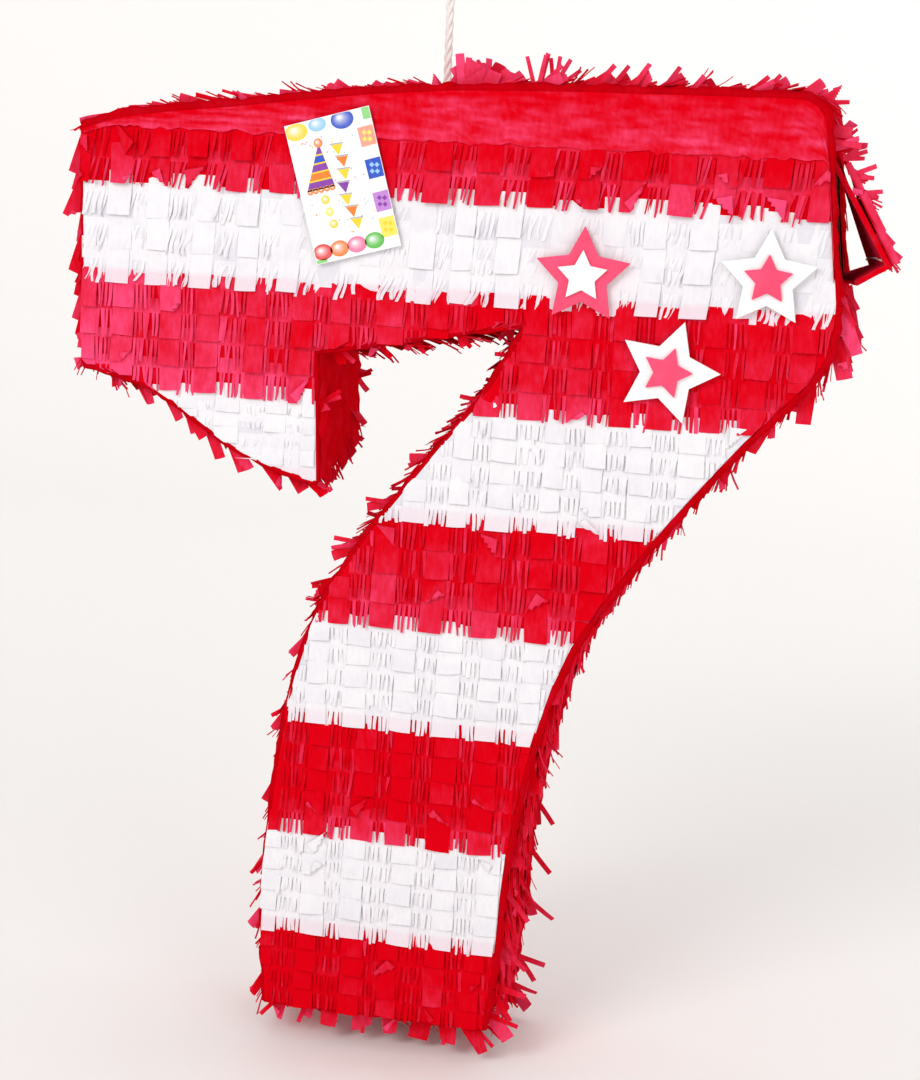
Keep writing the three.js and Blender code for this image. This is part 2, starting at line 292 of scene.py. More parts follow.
MATERIALS = {
    "red_tissue": tissue("red_tissue", RED_DEEP, RED_LIGHT, RED_SHADE, 2.0),
    "white_tissue": tissue("white_tissue", WHITE_SHADE, WHITE_LIGHT, PINK, 1.0),
    "card": card("card"),
    "red_foam": foam("red_foam", (0.91, 0.075, 0.18), (0.86, 0.06, 0.15)),
    "white_foam": foam("white_foam", (0.94, 0.94, 0.94), (0.9, 0.9, 0.905)),
    "cotton_cord": cotton("cotton_cord"),
    "tag_card": coated_card("tag_card"),
}

SLOTS = {entry["node"]: entry["material_slot"] for entry in frame["record"]["subparts"]}

for node_name, node_object in frame["nodes"].items():
    node_object.data.materials.clear()
    node_object.data.materials.append(MATERIALS[SLOTS[node_name]])

# ---- the figure's outline, from the frame -----------------------------------------------


def face_outline(node):
    """The corners of a plate's front face as (x, z), clockwise as it is read."""
    mesh = frame["nodes"][node].data
    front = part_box(node)[0].y
    places = [v.co for v in mesh.vertices]
    key = [(round(p.x * 1e5), round(p.z * 1e5)) for p in places]
    point = {k: (p.x, p.z) for k, p in zip(key, places)}
    count = {}
    for polygon in mesh.polygons:
        corners = list(polygon.vertices)
        if any(abs(places[i].y - front) > 0.01 * MM for i in corners):
            continue
        for a, b in zip(corners, corners[1:] + corners[:1]):
            edge = frozenset((key[a], key[b]))
            if len(edge) == 2:
                count[edge] = count.get(edge, 0) + 1
    after = {}
    for edge in (e for e, n in count.items() if n == 1):
        a, b = tuple(edge)
        after.setdefault(a, []).append(b)
        after.setdefault(b, []).append(a)
    start = next(iter(after))
    loop, previous, current = [start], None, start
    while True:
        step = next(k for k in after[current] if k != previous)
        if step == start:
            break
        loop.append(step)
        previous, current = current, step
    outline = np.array([point[k] for k in loop])
    x, z = outline[:, 0], outline[:, 1]
    area = np.sum(x * np.roll(z, -1) - np.roll(x, -1) * z)
    return outline if area < 0 else outline[::-1]


OUTLINE = face_outline("front_panel")


def nearest(points, x, z):
    return points[np.argmin(np.hypot(points[:, 0] - x, points[:, 1] - z))]


def lip_rise():
    """Heights of the lip's root and tip, its outer and inner sides, how much higher its tip
    is at the back, and how far back that is."""
    low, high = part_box("front_fringe_4_lip")
    tip = nearest(OUTLINE, high.x, low.z)
    rise = nearest(face_outline("back_panel"), *tip)[1] - tip[1]
    heights = (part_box("lip_inner_wall")[1].z, tip[1])
    return heights, (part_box("left_wall")[0].x, tip[0]), rise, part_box("back_panel")[1].y


LIP_PAST_SIDE = 16 * MM  # tissue this far beyond the lip's inner side still moves with it
LIP_PAST_TIP = 25 * MM  # and this far below its tip


def lift_lip(points):
    """Points of the lip moved up, as the card's are, by how far back and low they are."""
    (root, tip), (outer, inner), rise, depth = LIP
    x, y, z = points.T
    share = np.clip((y + depth) / (2 * depth), 0, 1) * np.clip((z - root) / (tip - root), 0, 1)
    share = share * np.clip((x - outer) / (inner - outer), 0, 1)
    on_lip = (x < inner + LIP_PAST_SIDE) * (z > tip - LIP_PAST_TIP)
    return points + np.stack([0 * x, 0 * y, rise * share * on_lip], axis=1)


def crossings(axis, value):
    """Where the outline crosses a line of constant x (axis 0) or z (axis 1), in pairs."""
    a, b = OUTLINE, np.roll(OUTLINE, -1, axis=0)
    va, vb = a[:, axis], b[:, axis]
    hit = (va > value) != (vb > value)
    share = (value - va[hit]) / (vb[hit] - va[hit])
    other = np.sort(a[hit, 1 - axis] + share * (b[hit, 1 - axis] - a[hit, 1 - axis]))
    return list(zip(other[::2], other[1::2]))


LIP = lip_rise()
WALL_REACH = 1.6 * MM  # a wall's corners lie within this of the face's outline


class Path:
    """One edge of the figure, measured along the card wall's outer surface."""

    def __init__(self, edge):
        wall = np.array([(v.co.x, v.co.z) for v in frame["nodes"][f"{edge}_wall"].data.vertices])
        near = [np.min(np.hypot(*(wall - p).T)) < WALL_REACH for p in OUTLINE]
        count = len(OUTLINE)
        start = next(i for i in range(count) if near[i] and not near[i - 1])
        points = []
        while near[start % count]:
            points.append(OUTLINE[start % count])
            start += 1
        self.points = np.array(points)
        steps = np.diff(self.points, axis=0)
        lengths = np.hypot(*steps.T)
        self.at = np.concatenate([[0], np.cumsum(lengths)])
        self.length = self.at[-1]
        unit = steps / lengths[:, None]
        ends = np.concatenate([unit[:1], unit[:-1] + unit[1:], unit[-1:]])
        self.tangents = ends / np.hypot(*ends.T)[:, None]

    def place(self, t):
        """Point, tangent and outward normal at distance t, running straight past the ends."""
        inside = min(max(t, 0), self.length)
        point = np.array([np.interp(inside, self.at, self.points[:, i]) for i in (0, 1)])
        tangent = np.array([np.interp(inside, self.at, self.tangents[:, i]) for i in (0, 1)])
        tangent /= np.hypot(*tangent)
        point = point + tangent * (t - inside)
        return point, tangent, np.array([-tangent[1], tangent[0]])


# ---- meshes of tissue -------------------------------------------------------------------

SHEET = 0.22 * MM  # a ply of tissue with its creases
WIDE = 4.5  # millimetres: a strip placed by hand that is wider than this is a tab
STRIP_STEPS = 6  # points along the middle line of a strip on a wall or on the flap


class Tissue:
    """Collects thin closed sheets of tissue into one mesh."""

    def __init__(self):
        self.vertices, self.faces, self.tones = [], [], []
        self.count = 0

    def add(self, vertices, faces, tones):
        self.vertices.append(vertices)
        self.faces.extend([[i + self.count for i in face] for face in faces])
        self.tones.append(tones)
        self.count += len(vertices)

    def sheet(self, grid, hint, tone, tint=0.0, thickness=SHEET):
        """A sheet through a grid of points, facing hint's way, thickened away from it."""
        rows, columns = grid.shape[:2]
        size = rows * columns
        back = grid - grid_normals(grid, hint) * thickness
        front_id = np.arange(size).reshape(rows, columns)
        faces = []
        for r in range(rows - 1):
            for c in range(columns - 1):
                a, b = front_id[r, c], front_id[r, c + 1]
                d, e = front_id[r + 1, c], front_id[r + 1, c + 1]
                faces.append((a, d, e, b))
                faces.append((a + size, b + size, e + size, d + size))
        rim = [front_id[0, c] for c in range(columns)]
        rim += [front_id[r, -1] for r in range(1, rows)]
        rim += [front_id[-1, c] for c in range(columns - 2, -1, -1)]
        rim += [front_id[r, 0] for r in range(rows - 2, 0, -1)]
        for a, b in zip(rim, rim[1:] + rim[:1]):
            faces.append((a, b, b + size, a + size))
        tones = np.ones((2 * size, 4), np.float32)
        tones[:, 0] = np.tile(np.broadcast_to(tone, (rows, columns)).ravel(), 2)
        tones[:, 1] = np.tile(np.broadcast_to(tint, (rows, columns)).ravel(), 2)
        tones[:, 2] = 0
        vertices = np.concatenate([grid.reshape(-1, 3), back.reshape(-1, 3)])
        self.add(lift_lip(vertices), faces, np.clip(tones, 0, 1))

    def make(self, name, slot_name, body):
        mesh = make_mesh(name, np.concatenate(self.vertices), self.faces)
        paint(mesh, np.concatenate(self.tones))
        shade_smooth(mesh)
        mesh.set_sharp_from_angle(angle=CREASE_ANGLE)
        return add_piece(name, mesh, slot_name, body)


def grid_normals(grid, hint):
    """Unit normals of a grid of points, on hint's side on the whole."""
    normals = np.cross(np.gradient(grid, axis=1), np.gradient(grid, axis=0))
    length = np.linalg.norm(normals, axis=2, keepdims=True)
    squashed = length[..., 0] < 1e-10
    normals /= np.maximum(length, 1e-12)
    if np.mean(np.sum(normals * hint, axis=2)) < 0:
        normals = -normals
    normals[squashed] = hint
    return normals


def lay_strip(curve, across, spec):
    """Points of a strip that follows a curve, and how much lighter its folded parts are.

    curve holds distances down the strip, the points there, and its outward directions.
    """
    reach, centre, out = curve
    s = np.linspace(0, 1, spec["rows"] + 1)[:, None]
    v = (np.linspace(0, 1, spec["columns"] + 1) - 0.5)[None, :]
    a = v * spec["width"] * (1 - spec["taper"] * s)
    d = s * spec["length"] + spec["slant"] * v * s
    h = spec["cup"] * (1 - 4 * v**2) * np.minimum(1, 2.5 * s)
    light = np.zeros_like(a)
    if spec["fold"]:
        side, size, angle = spec["fold"]
        na, nd = side * math.cos(angle), math.sin(angle)
        past = (a - side * spec["width"] / 2) * na + (d - spec["length"]) * nd + size
        past = np.maximum(past, 0)
        a = a - 2 * past * na
        d = d - 2 * past * nd
        h = h + np.where(past > 0, 0.4 * MM + 0.3 * past, 0)
        light = np.where(past > 0, 0.4, 0)
    turn = spec["twist"] * s**1.4
    a, h = a * np.cos(turn) - h * np.sin(turn), a * np.sin(turn) + h * np.cos(turn)
    a = a + spec["lean"] * d + spec["wave"] * np.sin(5 * s + spec["phase"]) * s
    points = np.stack([np.interp(d, reach, centre[:, i]) for i in range(3)], axis=2)
    outward = np.stack([np.interp(d, reach, out[:, i]) for i in range(3)], axis=2)
    return points + across * a[..., None] + outward * h[..., None], light + 0 * a


def strip_spec(rng, width, length, wide, folds=0.1):
    """The chances of one strip: a wide tab lies nearly flat, and a sliver curls and twists."""
    spec = {"length": length, "slant": 0.0, "fold": None, "wave": 0.0, "phase": rng.uniform(0, 6)}
    if wide:
        spec.update(
            width=width, rows=4, columns=3, taper=0.0, slant=rng.gauss(0, 0.9) * MM,
            twist=rng.gauss(0, 0.05), cup=rng.gauss(0.1, 0.35) * MM, lean=rng.gauss(0, 0.02),
            rise=abs(rng.gauss(0, 0.02)), curl=abs(rng.gauss(0, 0.09)),
        )
        if rng.random() < folds:
            spec.update(
                rows=9, columns=7,
                fold=(rng.choice((-1, 1)), rng.uniform(3, 9) * MM, rng.uniform(0.35, 1.2)),
            )
    else:
        spec.update(
            width=width * rng.uniform(0.45, 0.92), rows=5, columns=2, taper=rng.uniform(0, 0.6),
            twist=rng.gauss(0, 0.5), cup=rng.uniform(0.2, 0.6) * MM * rng.choice((-1, 1)),
            lean=rng.gauss(0, 0.05), rise=abs(rng.gauss(0, 0.03)), curl=rng.gauss(0.06, 0.18),
        )
    return spec


def columns_across(rng, start, end, tab=(12, 16), group=(4, 6), sliver=(2.4, 3.1)):
    """Splits a width into wide tabs and groups of slivers: (middle, width, wide, group)."""
    columns, x, order = [], start - rng.uniform(0, 14) * MM, 0
    while x < end:
        width = rng.uniform(*tab) * MM
        columns.append((x + width / 2, width, True, order))
        x += width
        for _ in range(rng.randint(*group)):
            width = rng.uniform(*sliver) * MM
            columns.append((x + width / 2, width, False, order + 1))
            x += width
        order += 2
    return columns


# ---- front and back faces ---------------------------------------------------------------

SHINGLE = 0.045  # how fast a hanging row stands off the card below its glue line
ROW_LAP = 7 * MM  # how far a row runs up under the row above
BAND_LAP = 1.8 * MM  # how far a band's last row hangs over the band below
FLAT_LIMIT = 2.9 * MM  # strips under a star or the tag stay under this
EDGE_SEARCH = 6 * MM  # a strip's middle may lie this far past the figure's edge

STAR_NODES = ("star_left_base", "star_right_base", "star_low_base")


def trim_spots():
    """Middle and reach of each star and the tag, where the front's strips lie flat."""
    spots = []
    for node in STAR_NODES + ("tag_card",):
        low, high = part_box(node)
        reach = max(high.x - low.x, high.z - low.z) / 2
        spots.append(((low.x + high.x) / 2, (low.z + high.z) / 2, reach))
    return spots


SPOTS = trim_spots()


def near_trim(x, z, margin):
    return any(math.hypot(x - sx, z - sz) < reach + margin for sx, sz, reach in SPOTS)


def backing(made, node, side, tone):
    """The plain layer glued to the card under a band: the band's own outline, made thin."""
    low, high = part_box(node)
    glued = high.y if side < 0 else low.y
    source = frame["nodes"][node].data
    vertices = np.array([tuple(v.co) for v in source.vertices])
    outer = np.abs(vertices[:, 1] - glued) > 1 * MM
    vertices[outer, 1] = glued + side * 0.25 * MM
    tones = np.tile(np.array([tone, 0, 0, 1], np.float32), (len(vertices), 1))
    made.add(vertices, [list(p.vertices) for p in source.polygons], tones)


def keep_inside(grid, left_hang, right_hang):
    """Pulls a strip's points back to the figure's edge, or gives None if little is left."""
    middle = grid.shape[0] // 2
    for index, row in enumerate(grid):
        spans = crossings(1, row[:, 2].mean())
        centre = row[:, 0].mean()
        near = [s for s in spans if s[0] - EDGE_SEARCH < centre < s[1] + EDGE_SEARCH]
        if not near:
            continue
        span = min(near, key=lambda s: max(s[0] - centre, centre - s[1]))
        width = np.ptp(row[:, 0])
        row[:, 0] = np.clip(row[:, 0], span[0] - left_hang, span[1] + right_hang)
        if index == middle and np.ptp(row[:, 0]) < 0.4 * width:
            return None
    return grid


def face_curve(side, surface, x, root, spec, shingle, flat):
    steps = 7
    s = np.linspace(0, 1, steps)
    slope = shingle + (0 * s if flat else spec["rise"] + spec["curl"] * s**2)
    step = spec["length"] / (steps - 1)
    out_by = spec["base"] + np.concatenate([[0], np.cumsum(np.sin(slope[1:]) * step)])
    down_by = np.concatenate([[0], np.cumsum(np.cos(slope[1:]) * step)])
    if flat:
        out_by = np.minimum(out_by, FLAT_LIMIT - abs(spec["cup"]))
    zero = np.zeros(steps)
    centre = np.stack([zero + x, surface + side * out_by, root - down_by], axis=1)
    out = np.stack([zero, side * np.cos(slope), np.sin(slope)], axis=1)
    return s * spec["length"], centre, out


def face_strip(made, rng, place, tone, painted_shading_down, tint):
    """One strip hanging on the front or back face from its root height."""
    side, surface, x, root, spec, shingle, pink_top = place
    flat = side < 0 and near_trim(x, root - spec["length"] / 2, 9 * MM)
    if flat:
        spec = dict(spec, twist=spec["twist"] * 0.2, cup=spec["cup"] * 0.5, fold=None)
    curve = face_curve(side, surface, x, root, spec, shingle, flat)
    grid, light = lay_strip(curve, ALONG_X, spec)
    limit = surface + side * 0.15 * MM
    grid[..., 1] = np.minimum(grid[..., 1], limit) if side < 0 else np.maximum(grid[..., 1], limit)
    grid = keep_inside(grid, rng.uniform(0.2, 2) * MM, rng.uniform(-1.0, 0.3) * MM)
    if grid is None:
        return
    down = np.linspace(-0.5, 0.5, grid.shape[0])[:, None]
    tint = tint * np.clip((pink_top - grid[..., 2]) / (2.5 * MM), 0.1, 1)
    # The tone changes down the strip by painted light and shade, as Row.shade gives it.
    made.sheet(grid, np.array([0, side, 0.0]), tone + light + painted_shading_down * down, tint)


def row_reach(x, root, end, rng):
    """Where a strip at x starts and how long it is, kept to the figure, or None."""
    for low, high in reversed(crossings(0, x)):
        if low < root - 2 * MM and high > end + 3 * MM:
            start = min(root, high - 0.4 * MM)
            length = start - max(end, low - rng.uniform(0, 2.5) * MM)
            return (start, length) if length > 4 * MM else None
    return None


# Each band's rows of strips and the pitch between them, if it isn't its height shared
# out; the tone of its tabs, lower in bands 7 and 9 as painted shade that darkens the leg
# towards its foot; glow, how much lighter its left end is; folds, the chance of a folded
# corner; lean, how far slivers hang to one side; wave, how far they wriggle; uncut, the
# share of a row's height left uncut above its slivers; shingle, as above; and pink, how
# much the red below shows through a white band's last row.
BANDS = {
    1: {
        "rows": 2, "pitch": 18 * MM, "tone": 0.20, "glow": -0.14, "folds": 0.5, "lean": -0.16,
        "uncut": 0.15,
    },
    2: {"rows": 3, "lean": -0.26, "pink": 0.8, "wave": 1.6 * MM, "uncut": 0.3, "shingle": 0.012},
    3: {"rows": 4, "tone": 0.20, "glow": 0.58, "folds": 0.12, "uncut": 0.12},
    4: {"rows": 5, "pink": 0.6, "uncut": 0.35},
    5: {"rows": 4, "tone": 0.22, "folds": 0.1, "uncut": 0.12},
    6: {"rows": 5, "pink": 0.5, "uncut": 0.35},
    7: {"rows": 5, "tone": 0.05, "folds": 0.1, "uncut": 0.12},
    8: {"rows": 5, "pink": 0.65, "uncut": 0.35},
    9: {"rows": 4, "tone": -0.06, "folds": 0.12, "uncut": 0.2},
}
PINK_REACH = 10 * MM  # how far up its last row a white band is pink
ROW_SHIFT = -0.5 * MM  # each row sits this far to one side of the row above


class Row:
    """One row of cut tissue on a face: tabs, and slivers below a head that is left uncut."""

    def __init__(self, made, rng, side, surface, style, red, last):
        self.made, self.rng, self.side, self.surface = made, rng, side, surface
        self.style, self.red, self.last = style, red, last
        self.shingle = style.get("shingle", SHINGLE)

    def shade(self, x, left, wide):
        """Tone at x, its change down the strip, and tint. A red sliver is lighter than a tab, a painted
        highlight on its curled edges; down a strip, red gets lighter out of the painted shadow of the
        row above, and white gets darker towards its foot, painted shade too.
        """
        rng, style = self.rng, self.style
        if self.red:
            tone = style["tone"] + style.get("glow", 0) * max(0, x / min(left, -1 * MM))
            tone += rng.gauss(0, 0.13) if wide else rng.gauss(0.18, 0.16)
            return tone + (0.25 if self.last else 0), 0.14, 0
        tone = rng.gauss(0.88, 0.06) if wide else rng.gauss(0.92, 0.1)
        tint = rng.uniform(0.7, 1.1) * style["pink"] if self.last else 0
        return tone, -0.22 if wide else -0.12, tint

    def strip(self, x, width, root, end, kind, low_x, high_x):
        """kind is tab, web (the uncut head above some slivers) or sliver."""
        rng = self.rng
        wide = kind != "sliver"
        if not low_x - width / 3 < x < high_x + width / 3:
            return
        held = min(max(x, low_x + MM), high_x - MM)
        if kind != "web":
            end += rng.gauss(0, 0.5 if wide else 0.9) * MM
        reach = row_reach(held, root, end, rng)
        if reach is None:
            return
        folds = self.style.get("folds", 0.03) if kind == "tab" else 0
        spec = strip_spec(rng, width, reach[1], wide, folds)
        spec["base"] = rng.uniform(0.1, 0.4) * MM
        if self.last and not self.red:
            spec["rows"] = max(spec["rows"], 8)
        if kind == "sliver":
            spec["base"] += self.shingle * self.head
            spec["wave"] = self.style.get("wave", 0.3 * MM) * rng.uniform(0.2, 1)
            if not self.red:
                spec["width"] = width * rng.uniform(0.65, 1)
                spec["taper"] *= 0.5
        if kind == "web":
            spec.update(slant=0, lean=0, rise=0, curl=0, cup=0, twist=0)
        else:
            lean = self.style.get("lean", 0) * rng.uniform(0.2, 1.6)
            spec["lean"] += lean * (0.2 if wide else 1)
        tone, painted_shading_down, tint = self.shade(x, low_x, wide)
        place = (self.side, self.surface, x, reach[0], spec, self.shingle, self.end + PINK_REACH)
        face_strip(self.made, rng, place, tone, painted_shading_down, tint)

    def hang(self, columns, shift, root, end, low, high):
        uncut = self.style["uncut"]
        self.end = end
        self.head = ROW_LAP + uncut * (root - ROW_LAP - end)
        webs = {}
        for x, width, wide, group in columns:
            x += shift
            if not wide:
                first, last = webs.get(group, (x - width / 2, x + width / 2))
                webs[group] = (min(first, x - width / 2), max(last, x + width / 2))
        for first, last in webs.values():
            x, width = (first + last) / 2, last - first + 0.6 * MM
            self.strip(x, width, root, root - self.head, "web", low.x, high.x)
        for x, width, wide, _ in columns:
            x += shift + self.rng.gauss(0, 0.3) * MM
            kind = "tab" if wide else "sliver"
            top = root if wide else root - self.head + 1 * MM
            self.strip(x, width, top, end, kind, low.x, high.x)


def face_band(node, side, seed):
    """All the tissue of one band on the front (side -1) or back (1), in place of its CAD node."""
    rng = random.Random(seed)
    number = int(node.split("_")[2])
    style = BANDS[number]
    if node.endswith("lip"):
        style = dict(style, uncut=0.55, shingle=0.015, wave=0.8 * MM)
    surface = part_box(node)[1].y if side < 0 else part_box(node)[0].y
    low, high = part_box(node.replace("back", "front"))
    red = number % 2 == 1
    made = Tissue()
    # The white backing is greyer than the strips on it: painted shade in the gaps between slivers.
    backing(made, node, side, 0.05 if red else 0.45)
    rows = style["rows"]
    bottom = low.z - BAND_LAP
    pitch = style.get("pitch", (high.z - bottom) / rows)
    columns = columns_across(rng, low.x - 5 * MM, high.x + 5 * MM)
    for order in range(rows):
        end = bottom + order * pitch
        row = Row(made, rng, side, surface, style, red, order == 0 and number < 9)
        shift = rng.uniform(-0.6, 0.6) * MM - ROW_SHIFT * order
        row.hang(columns, shift, end + pitch + ROW_LAP, end, low, high)
    if number == 1:
        header(made, side, surface, bottom + rows * pitch)
    piece = made.make(f"tissue_{node}", SLOTS[node], "body")
    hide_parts(node)


def wrinkle(x, z, size, stretch):
    return noise.fractal(Vector((x / size / stretch, z / size, 3.7)), 0.6, 2.1, 4)


def header(made, side, surface, low_edge):
    """The uncut strip along the top, stretched and wrinkled by its glue."""
    left, right = OUTLINE[:, 0].min() + 1 * MM, OUTLINE[:, 0].max() - 2 * MM
    columns, rows = 170, 18
    grid = np.zeros((rows, columns, 3))
    tone = np.zeros((rows, columns))
    for c in range(columns):
        x = left + (right - left) * c / (columns - 1)
        top = crossings(0, x)[-1][1] - 0.3 * MM
        ragged = 2.2 * MM * noise.fractal(Vector((x / (11 * MM), side, 0)), 0.8, 2.0, 3)
        foot = min(low_edge - 1 * MM - ragged, top - 3 * MM)
        for r in range(rows):
            s = r / (rows - 1)
            z = top + (foot - top) * s
            crease = wrinkle(x, z, 3.4 * MM, 8)
            rise = (0.6 + 1.1 * s) * MM + 1.5 * MM * crease * min(1, r / 3) * (1 - 0.6 * s)
            grid[r, c] = (x, surface + side * max(0.3 * MM, rise), z)
            # Painted shade: darker near the top, in the rolled edge's shadow, and lighter on the raised
            # wrinkles, a painted highlight.
            tone[r, c] = 0.53 + 0.4 * crease - 0.4 * (1 - s) ** 3
    made.sheet(grid, np.array([0, side, 0.0]), tone)


# ---- walls ------------------------------------------------------------------------------

WALL_ROW = 18 * MM
WALL_LENGTH = 26 * MM
FRINGE_MARGIN = 5 * MM  # the cut rows stop this far short of the figure's front and back

# how the base layer rolls over the figure's edge: distance behind the face, then how far
# it stands off the wall, in millimetres
ROLL = (
    (0.9, -1.1), (-0.3, -0.4), (-0.7, 0.9), (-0.1, 2.2), (1.6, 3.0), (4.0, 2.6), (7.0, 1.6), (11.0, 1.1),
)

# For each wall: which way its strips hang along the edge (0 is outwards from the cord),
# how far tabs stand off it in radians, the chance that a group of slivers fans out, how
# far gravity pulls a strip over its length, how fat the rolled edge is, and the tone of
# the strips that stand out broadside, which is painted light and shade: highest on the
# top and right walls, lowest under the bar and inside the lip.
WALLS = {
    "top": {"hang": 0, "tab": 0.08, "fan": 0.07, "sag": 0.0, "roll": 1.5, "tone": 0.55},
    "right": {"hang": 1, "tab": 0.12, "fan": 0.12, "sag": 0.10, "roll": 1.1, "tone": 0.5},
    "outer_leg": {"hang": 1, "tab": 0.09, "fan": 0.07, "sag": 0.22, "roll": 1.45, "tone": 0.25},
    "base": {"hang": -1, "tab": 0.20, "fan": 0.15, "sag": 0.35, "roll": 0.8, "tone": 0.3},
    "inner_leg": {"hang": -1, "tab": 0.26, "fan": 0.08, "sag": 0.05, "roll": 1.1, "tone": 0.25},
    "underbar": {"hang": -1, "tab": 0.16, "fan": 0.14, "sag": 0.30, "roll": 0.9, "tone": 0.1},
    "lip_inner": {"hang": 1, "tab": 0.20, "fan": 0.30, "sag": 0.10, "roll": 0.7, "tone": 0.1},
    "lip_bottom": {"hang": -1, "tab": 0.18, "fan": 0.10, "sag": 0.40, "roll": 1.2, "tone": 0.2},
    "left": {"hang": -1, "tab": 0.26, "fan": 0.06, "sag": 0.05, "roll": 0.9, "tone": 0.25},
}


def wrap(made, path, start, end, y_low, y_high, fat, rolled=(True, True), tone=0.12):
    """The plain layer on a stretch of wall, rolled over the figure's edges."""
    low = [(y_low + q * MM, n * MM, 1) for q, n in ROLL] if rolled[0] else [(y_low, 1 * MM, 0)]
    high = [(y_high - q * MM, n * MM, 1) for q, n in ROLL[::-1]] if rolled[1] else [(y_high, 1 * MM, 0)]
    inner = np.linspace(low[-1][0], high[0][0], 7)[1:-1] if all(rolled) else []
    section = low + [(y, 1 * MM, 0) for y in inner] + high
    count = max(3, int((end - start) / (3 * MM)))
    grid = np.zeros((count, len(section), 3))
    tint = np.zeros((count, len(section)))
    for i in range(count):
        t = start + (end - start) * i / (count - 1)
        point, _, normal = path.place(t)
        swell = fat * (1 + 0.5 * noise.noise(Vector((point[0], point[1], 0)) / (9 * MM)))
        for j, (y, n, edge) in enumerate(section):
            place = Vector((point[0], y * 2.5, point[1])) / (7 * MM)
            n = n * (swell if edge and n > 0 else 1) + 0.4 * MM * noise.noise(place)
            spot = point + normal * max(n, -1.5 * MM)
            grid[i, j] = (spot[0], y + 0.3 * MM * noise.noise(place * 1.3), spot[1])
            # Painted shade: the dark tint is stronger on the rolled edges; the noise varies it at random.
            tint[i, j] = (0.55 if edge else 0.25) + 0.25 * noise.noise(place * 0.6)
    hint = path.place((start + end) / 2)[2]
    made.sheet(grid, np.array([hint[0], 0, hint[1]]), tone, tint, thickness=0.4 * MM)


def wall_curve(path, start, way, y, spec, lift, sag, ground):
    """The middle line of a strip glued on a wall, and its outward directions."""
    step = spec["length"] / (STRIP_STEPS - 1)
    t, n = start, ground
    centre, out = [], []
    for i in range(STRIP_STEPS):
        point, tangent, normal = path.place(t)
        heading = tangent * way
        s = i / (STRIP_STEPS - 1)
        angle = 0.08 + lift * min(1, 1.6 * s) + spec["curl"] * s**2
        direction = heading * math.cos(angle) + normal * math.sin(angle)
        direction = direction + np.array([0, -1]) * sag * s
        if not 0 < t < path.length:
            direction = direction + np.array([0, -1]) * 0.5
        direction /= np.hypot(*direction)
        face = np.array([direction[1], -direction[0]])
        face *= 1 if np.dot(face, normal) > 0 else -1
        place = point + normal * n
        centre.append((place[0], y, place[1]))
        out.append((face[0], 0, face[1]))
        t += way * step * float(np.dot(direction, heading))
        n = max(0.8 * ground, n + step * float(np.dot(direction, normal)))
    return np.linspace(0, spec["length"], STRIP_STEPS), np.array(centre), np.array(out)


def wall_strip(made, rng, path, start, way, y, spec, lift, sag, tone):
    """One strip on a wall, glued at distance start along the edge and hanging way along it."""
    curve = wall_curve(path, start, way, y, spec, lift, sag, rng.uniform(1.5, 2.2) * MM)
    grid, light = lay_strip(curve, ALONG_Y, spec)
    down = np.linspace(0, 1, grid.shape[0])[:, None]
    # Painted light: lighter towards the tip, more so the further it stands off the wall, for light shining
    # through the single ply.
    made.sheet(grid, curve[2][0], tone + light + (0.15 + 0.4 * min(1, lift)) * down)


def hand(made, rng, path, t, y, pieces, side, tone):
    """Strips that stand out broadside to the front: (degrees from the wall's normal towards
    the edge's direction, length, width), in millimetres, all from one place."""
    for degrees, length, width in pieces:
        wide = width > WIDE
        spec = strip_spec(rng, width * MM, length * MM, wide, 0.3)
        spec.update(width=width * MM, taper=rng.uniform(0, 0.15), twist=rng.gauss(0, 0.35))
        point, tangent, normal = path.place(t + rng.gauss(0, 1.5) * MM)
        angle = math.radians(degrees + rng.gauss(0, 4))
        heading = normal * math.cos(angle) + tangent * math.sin(angle)
        bend = rng.gauss(0, 0.25)
        place = np.array([point[0], y + rng.gauss(0, 1.2) * MM, point[1]])
        place += np.array([normal[0], 0, normal[1]]) * 1.0 * MM
        flat = np.array([heading[0], 0, heading[1]])
        away = np.array([0, side, 0.0])
        centre, out = [], []
        for i in range(STRIP_STEPS):
            lift = bend * (i / (STRIP_STEPS - 1)) ** 1.5
            centre.append(place)
            out.append(away * math.cos(lift) - flat * math.sin(lift))
            direction = flat * math.cos(lift) + away * math.sin(lift)
            place = place + direction * length * MM / (STRIP_STEPS - 1)
        across = np.array([-heading[1], 0, heading[0]])
        curve = (np.linspace(0, spec["length"], STRIP_STEPS), np.array(centre), np.array(out))
        grid, light = lay_strip(curve, across, spec)
        down = np.linspace(0, 1, grid.shape[0])[:, None]
        # Painted light: lighter towards the tip, for light shining through the single ply.
        made.sheet(grid, away, tone + rng.gauss(0, 0.15) + light + 0.3 * down)


def opening():
    """The fill opening in the right wall: its top and bottom along the edge, and half width."""
    path = Path("right")
    wall = frame["nodes"]["right_wall"].data
    inner = [v.co for v in wall.vertices if abs(v.co.y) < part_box("right_wall")[1].y - 2 * MM]
    tangent = path.place(path.length / 2)[1]
    along = [float(np.dot(np.array((p.x, p.z)) - path.points[0], tangent)) for p in inner]
    return min(along), max(along), max(p.y for p in inner)


OPENING = opening()
OPENING_LIFT = 9 * MM  # left bare above the fold for the flap to lift


def over_opening(edge, start, end, y, half):
    """Whether a strip from start to end along an edge, half wide, would cover the opening."""
    if edge != "right":
        return False
    top, bottom, width = OPENING
    low, high = min(start, end), max(start, end)
    return high > top - OPENING_LIFT and low < bottom + 1 * MM and abs(y) - half < width + 0.5 * MM


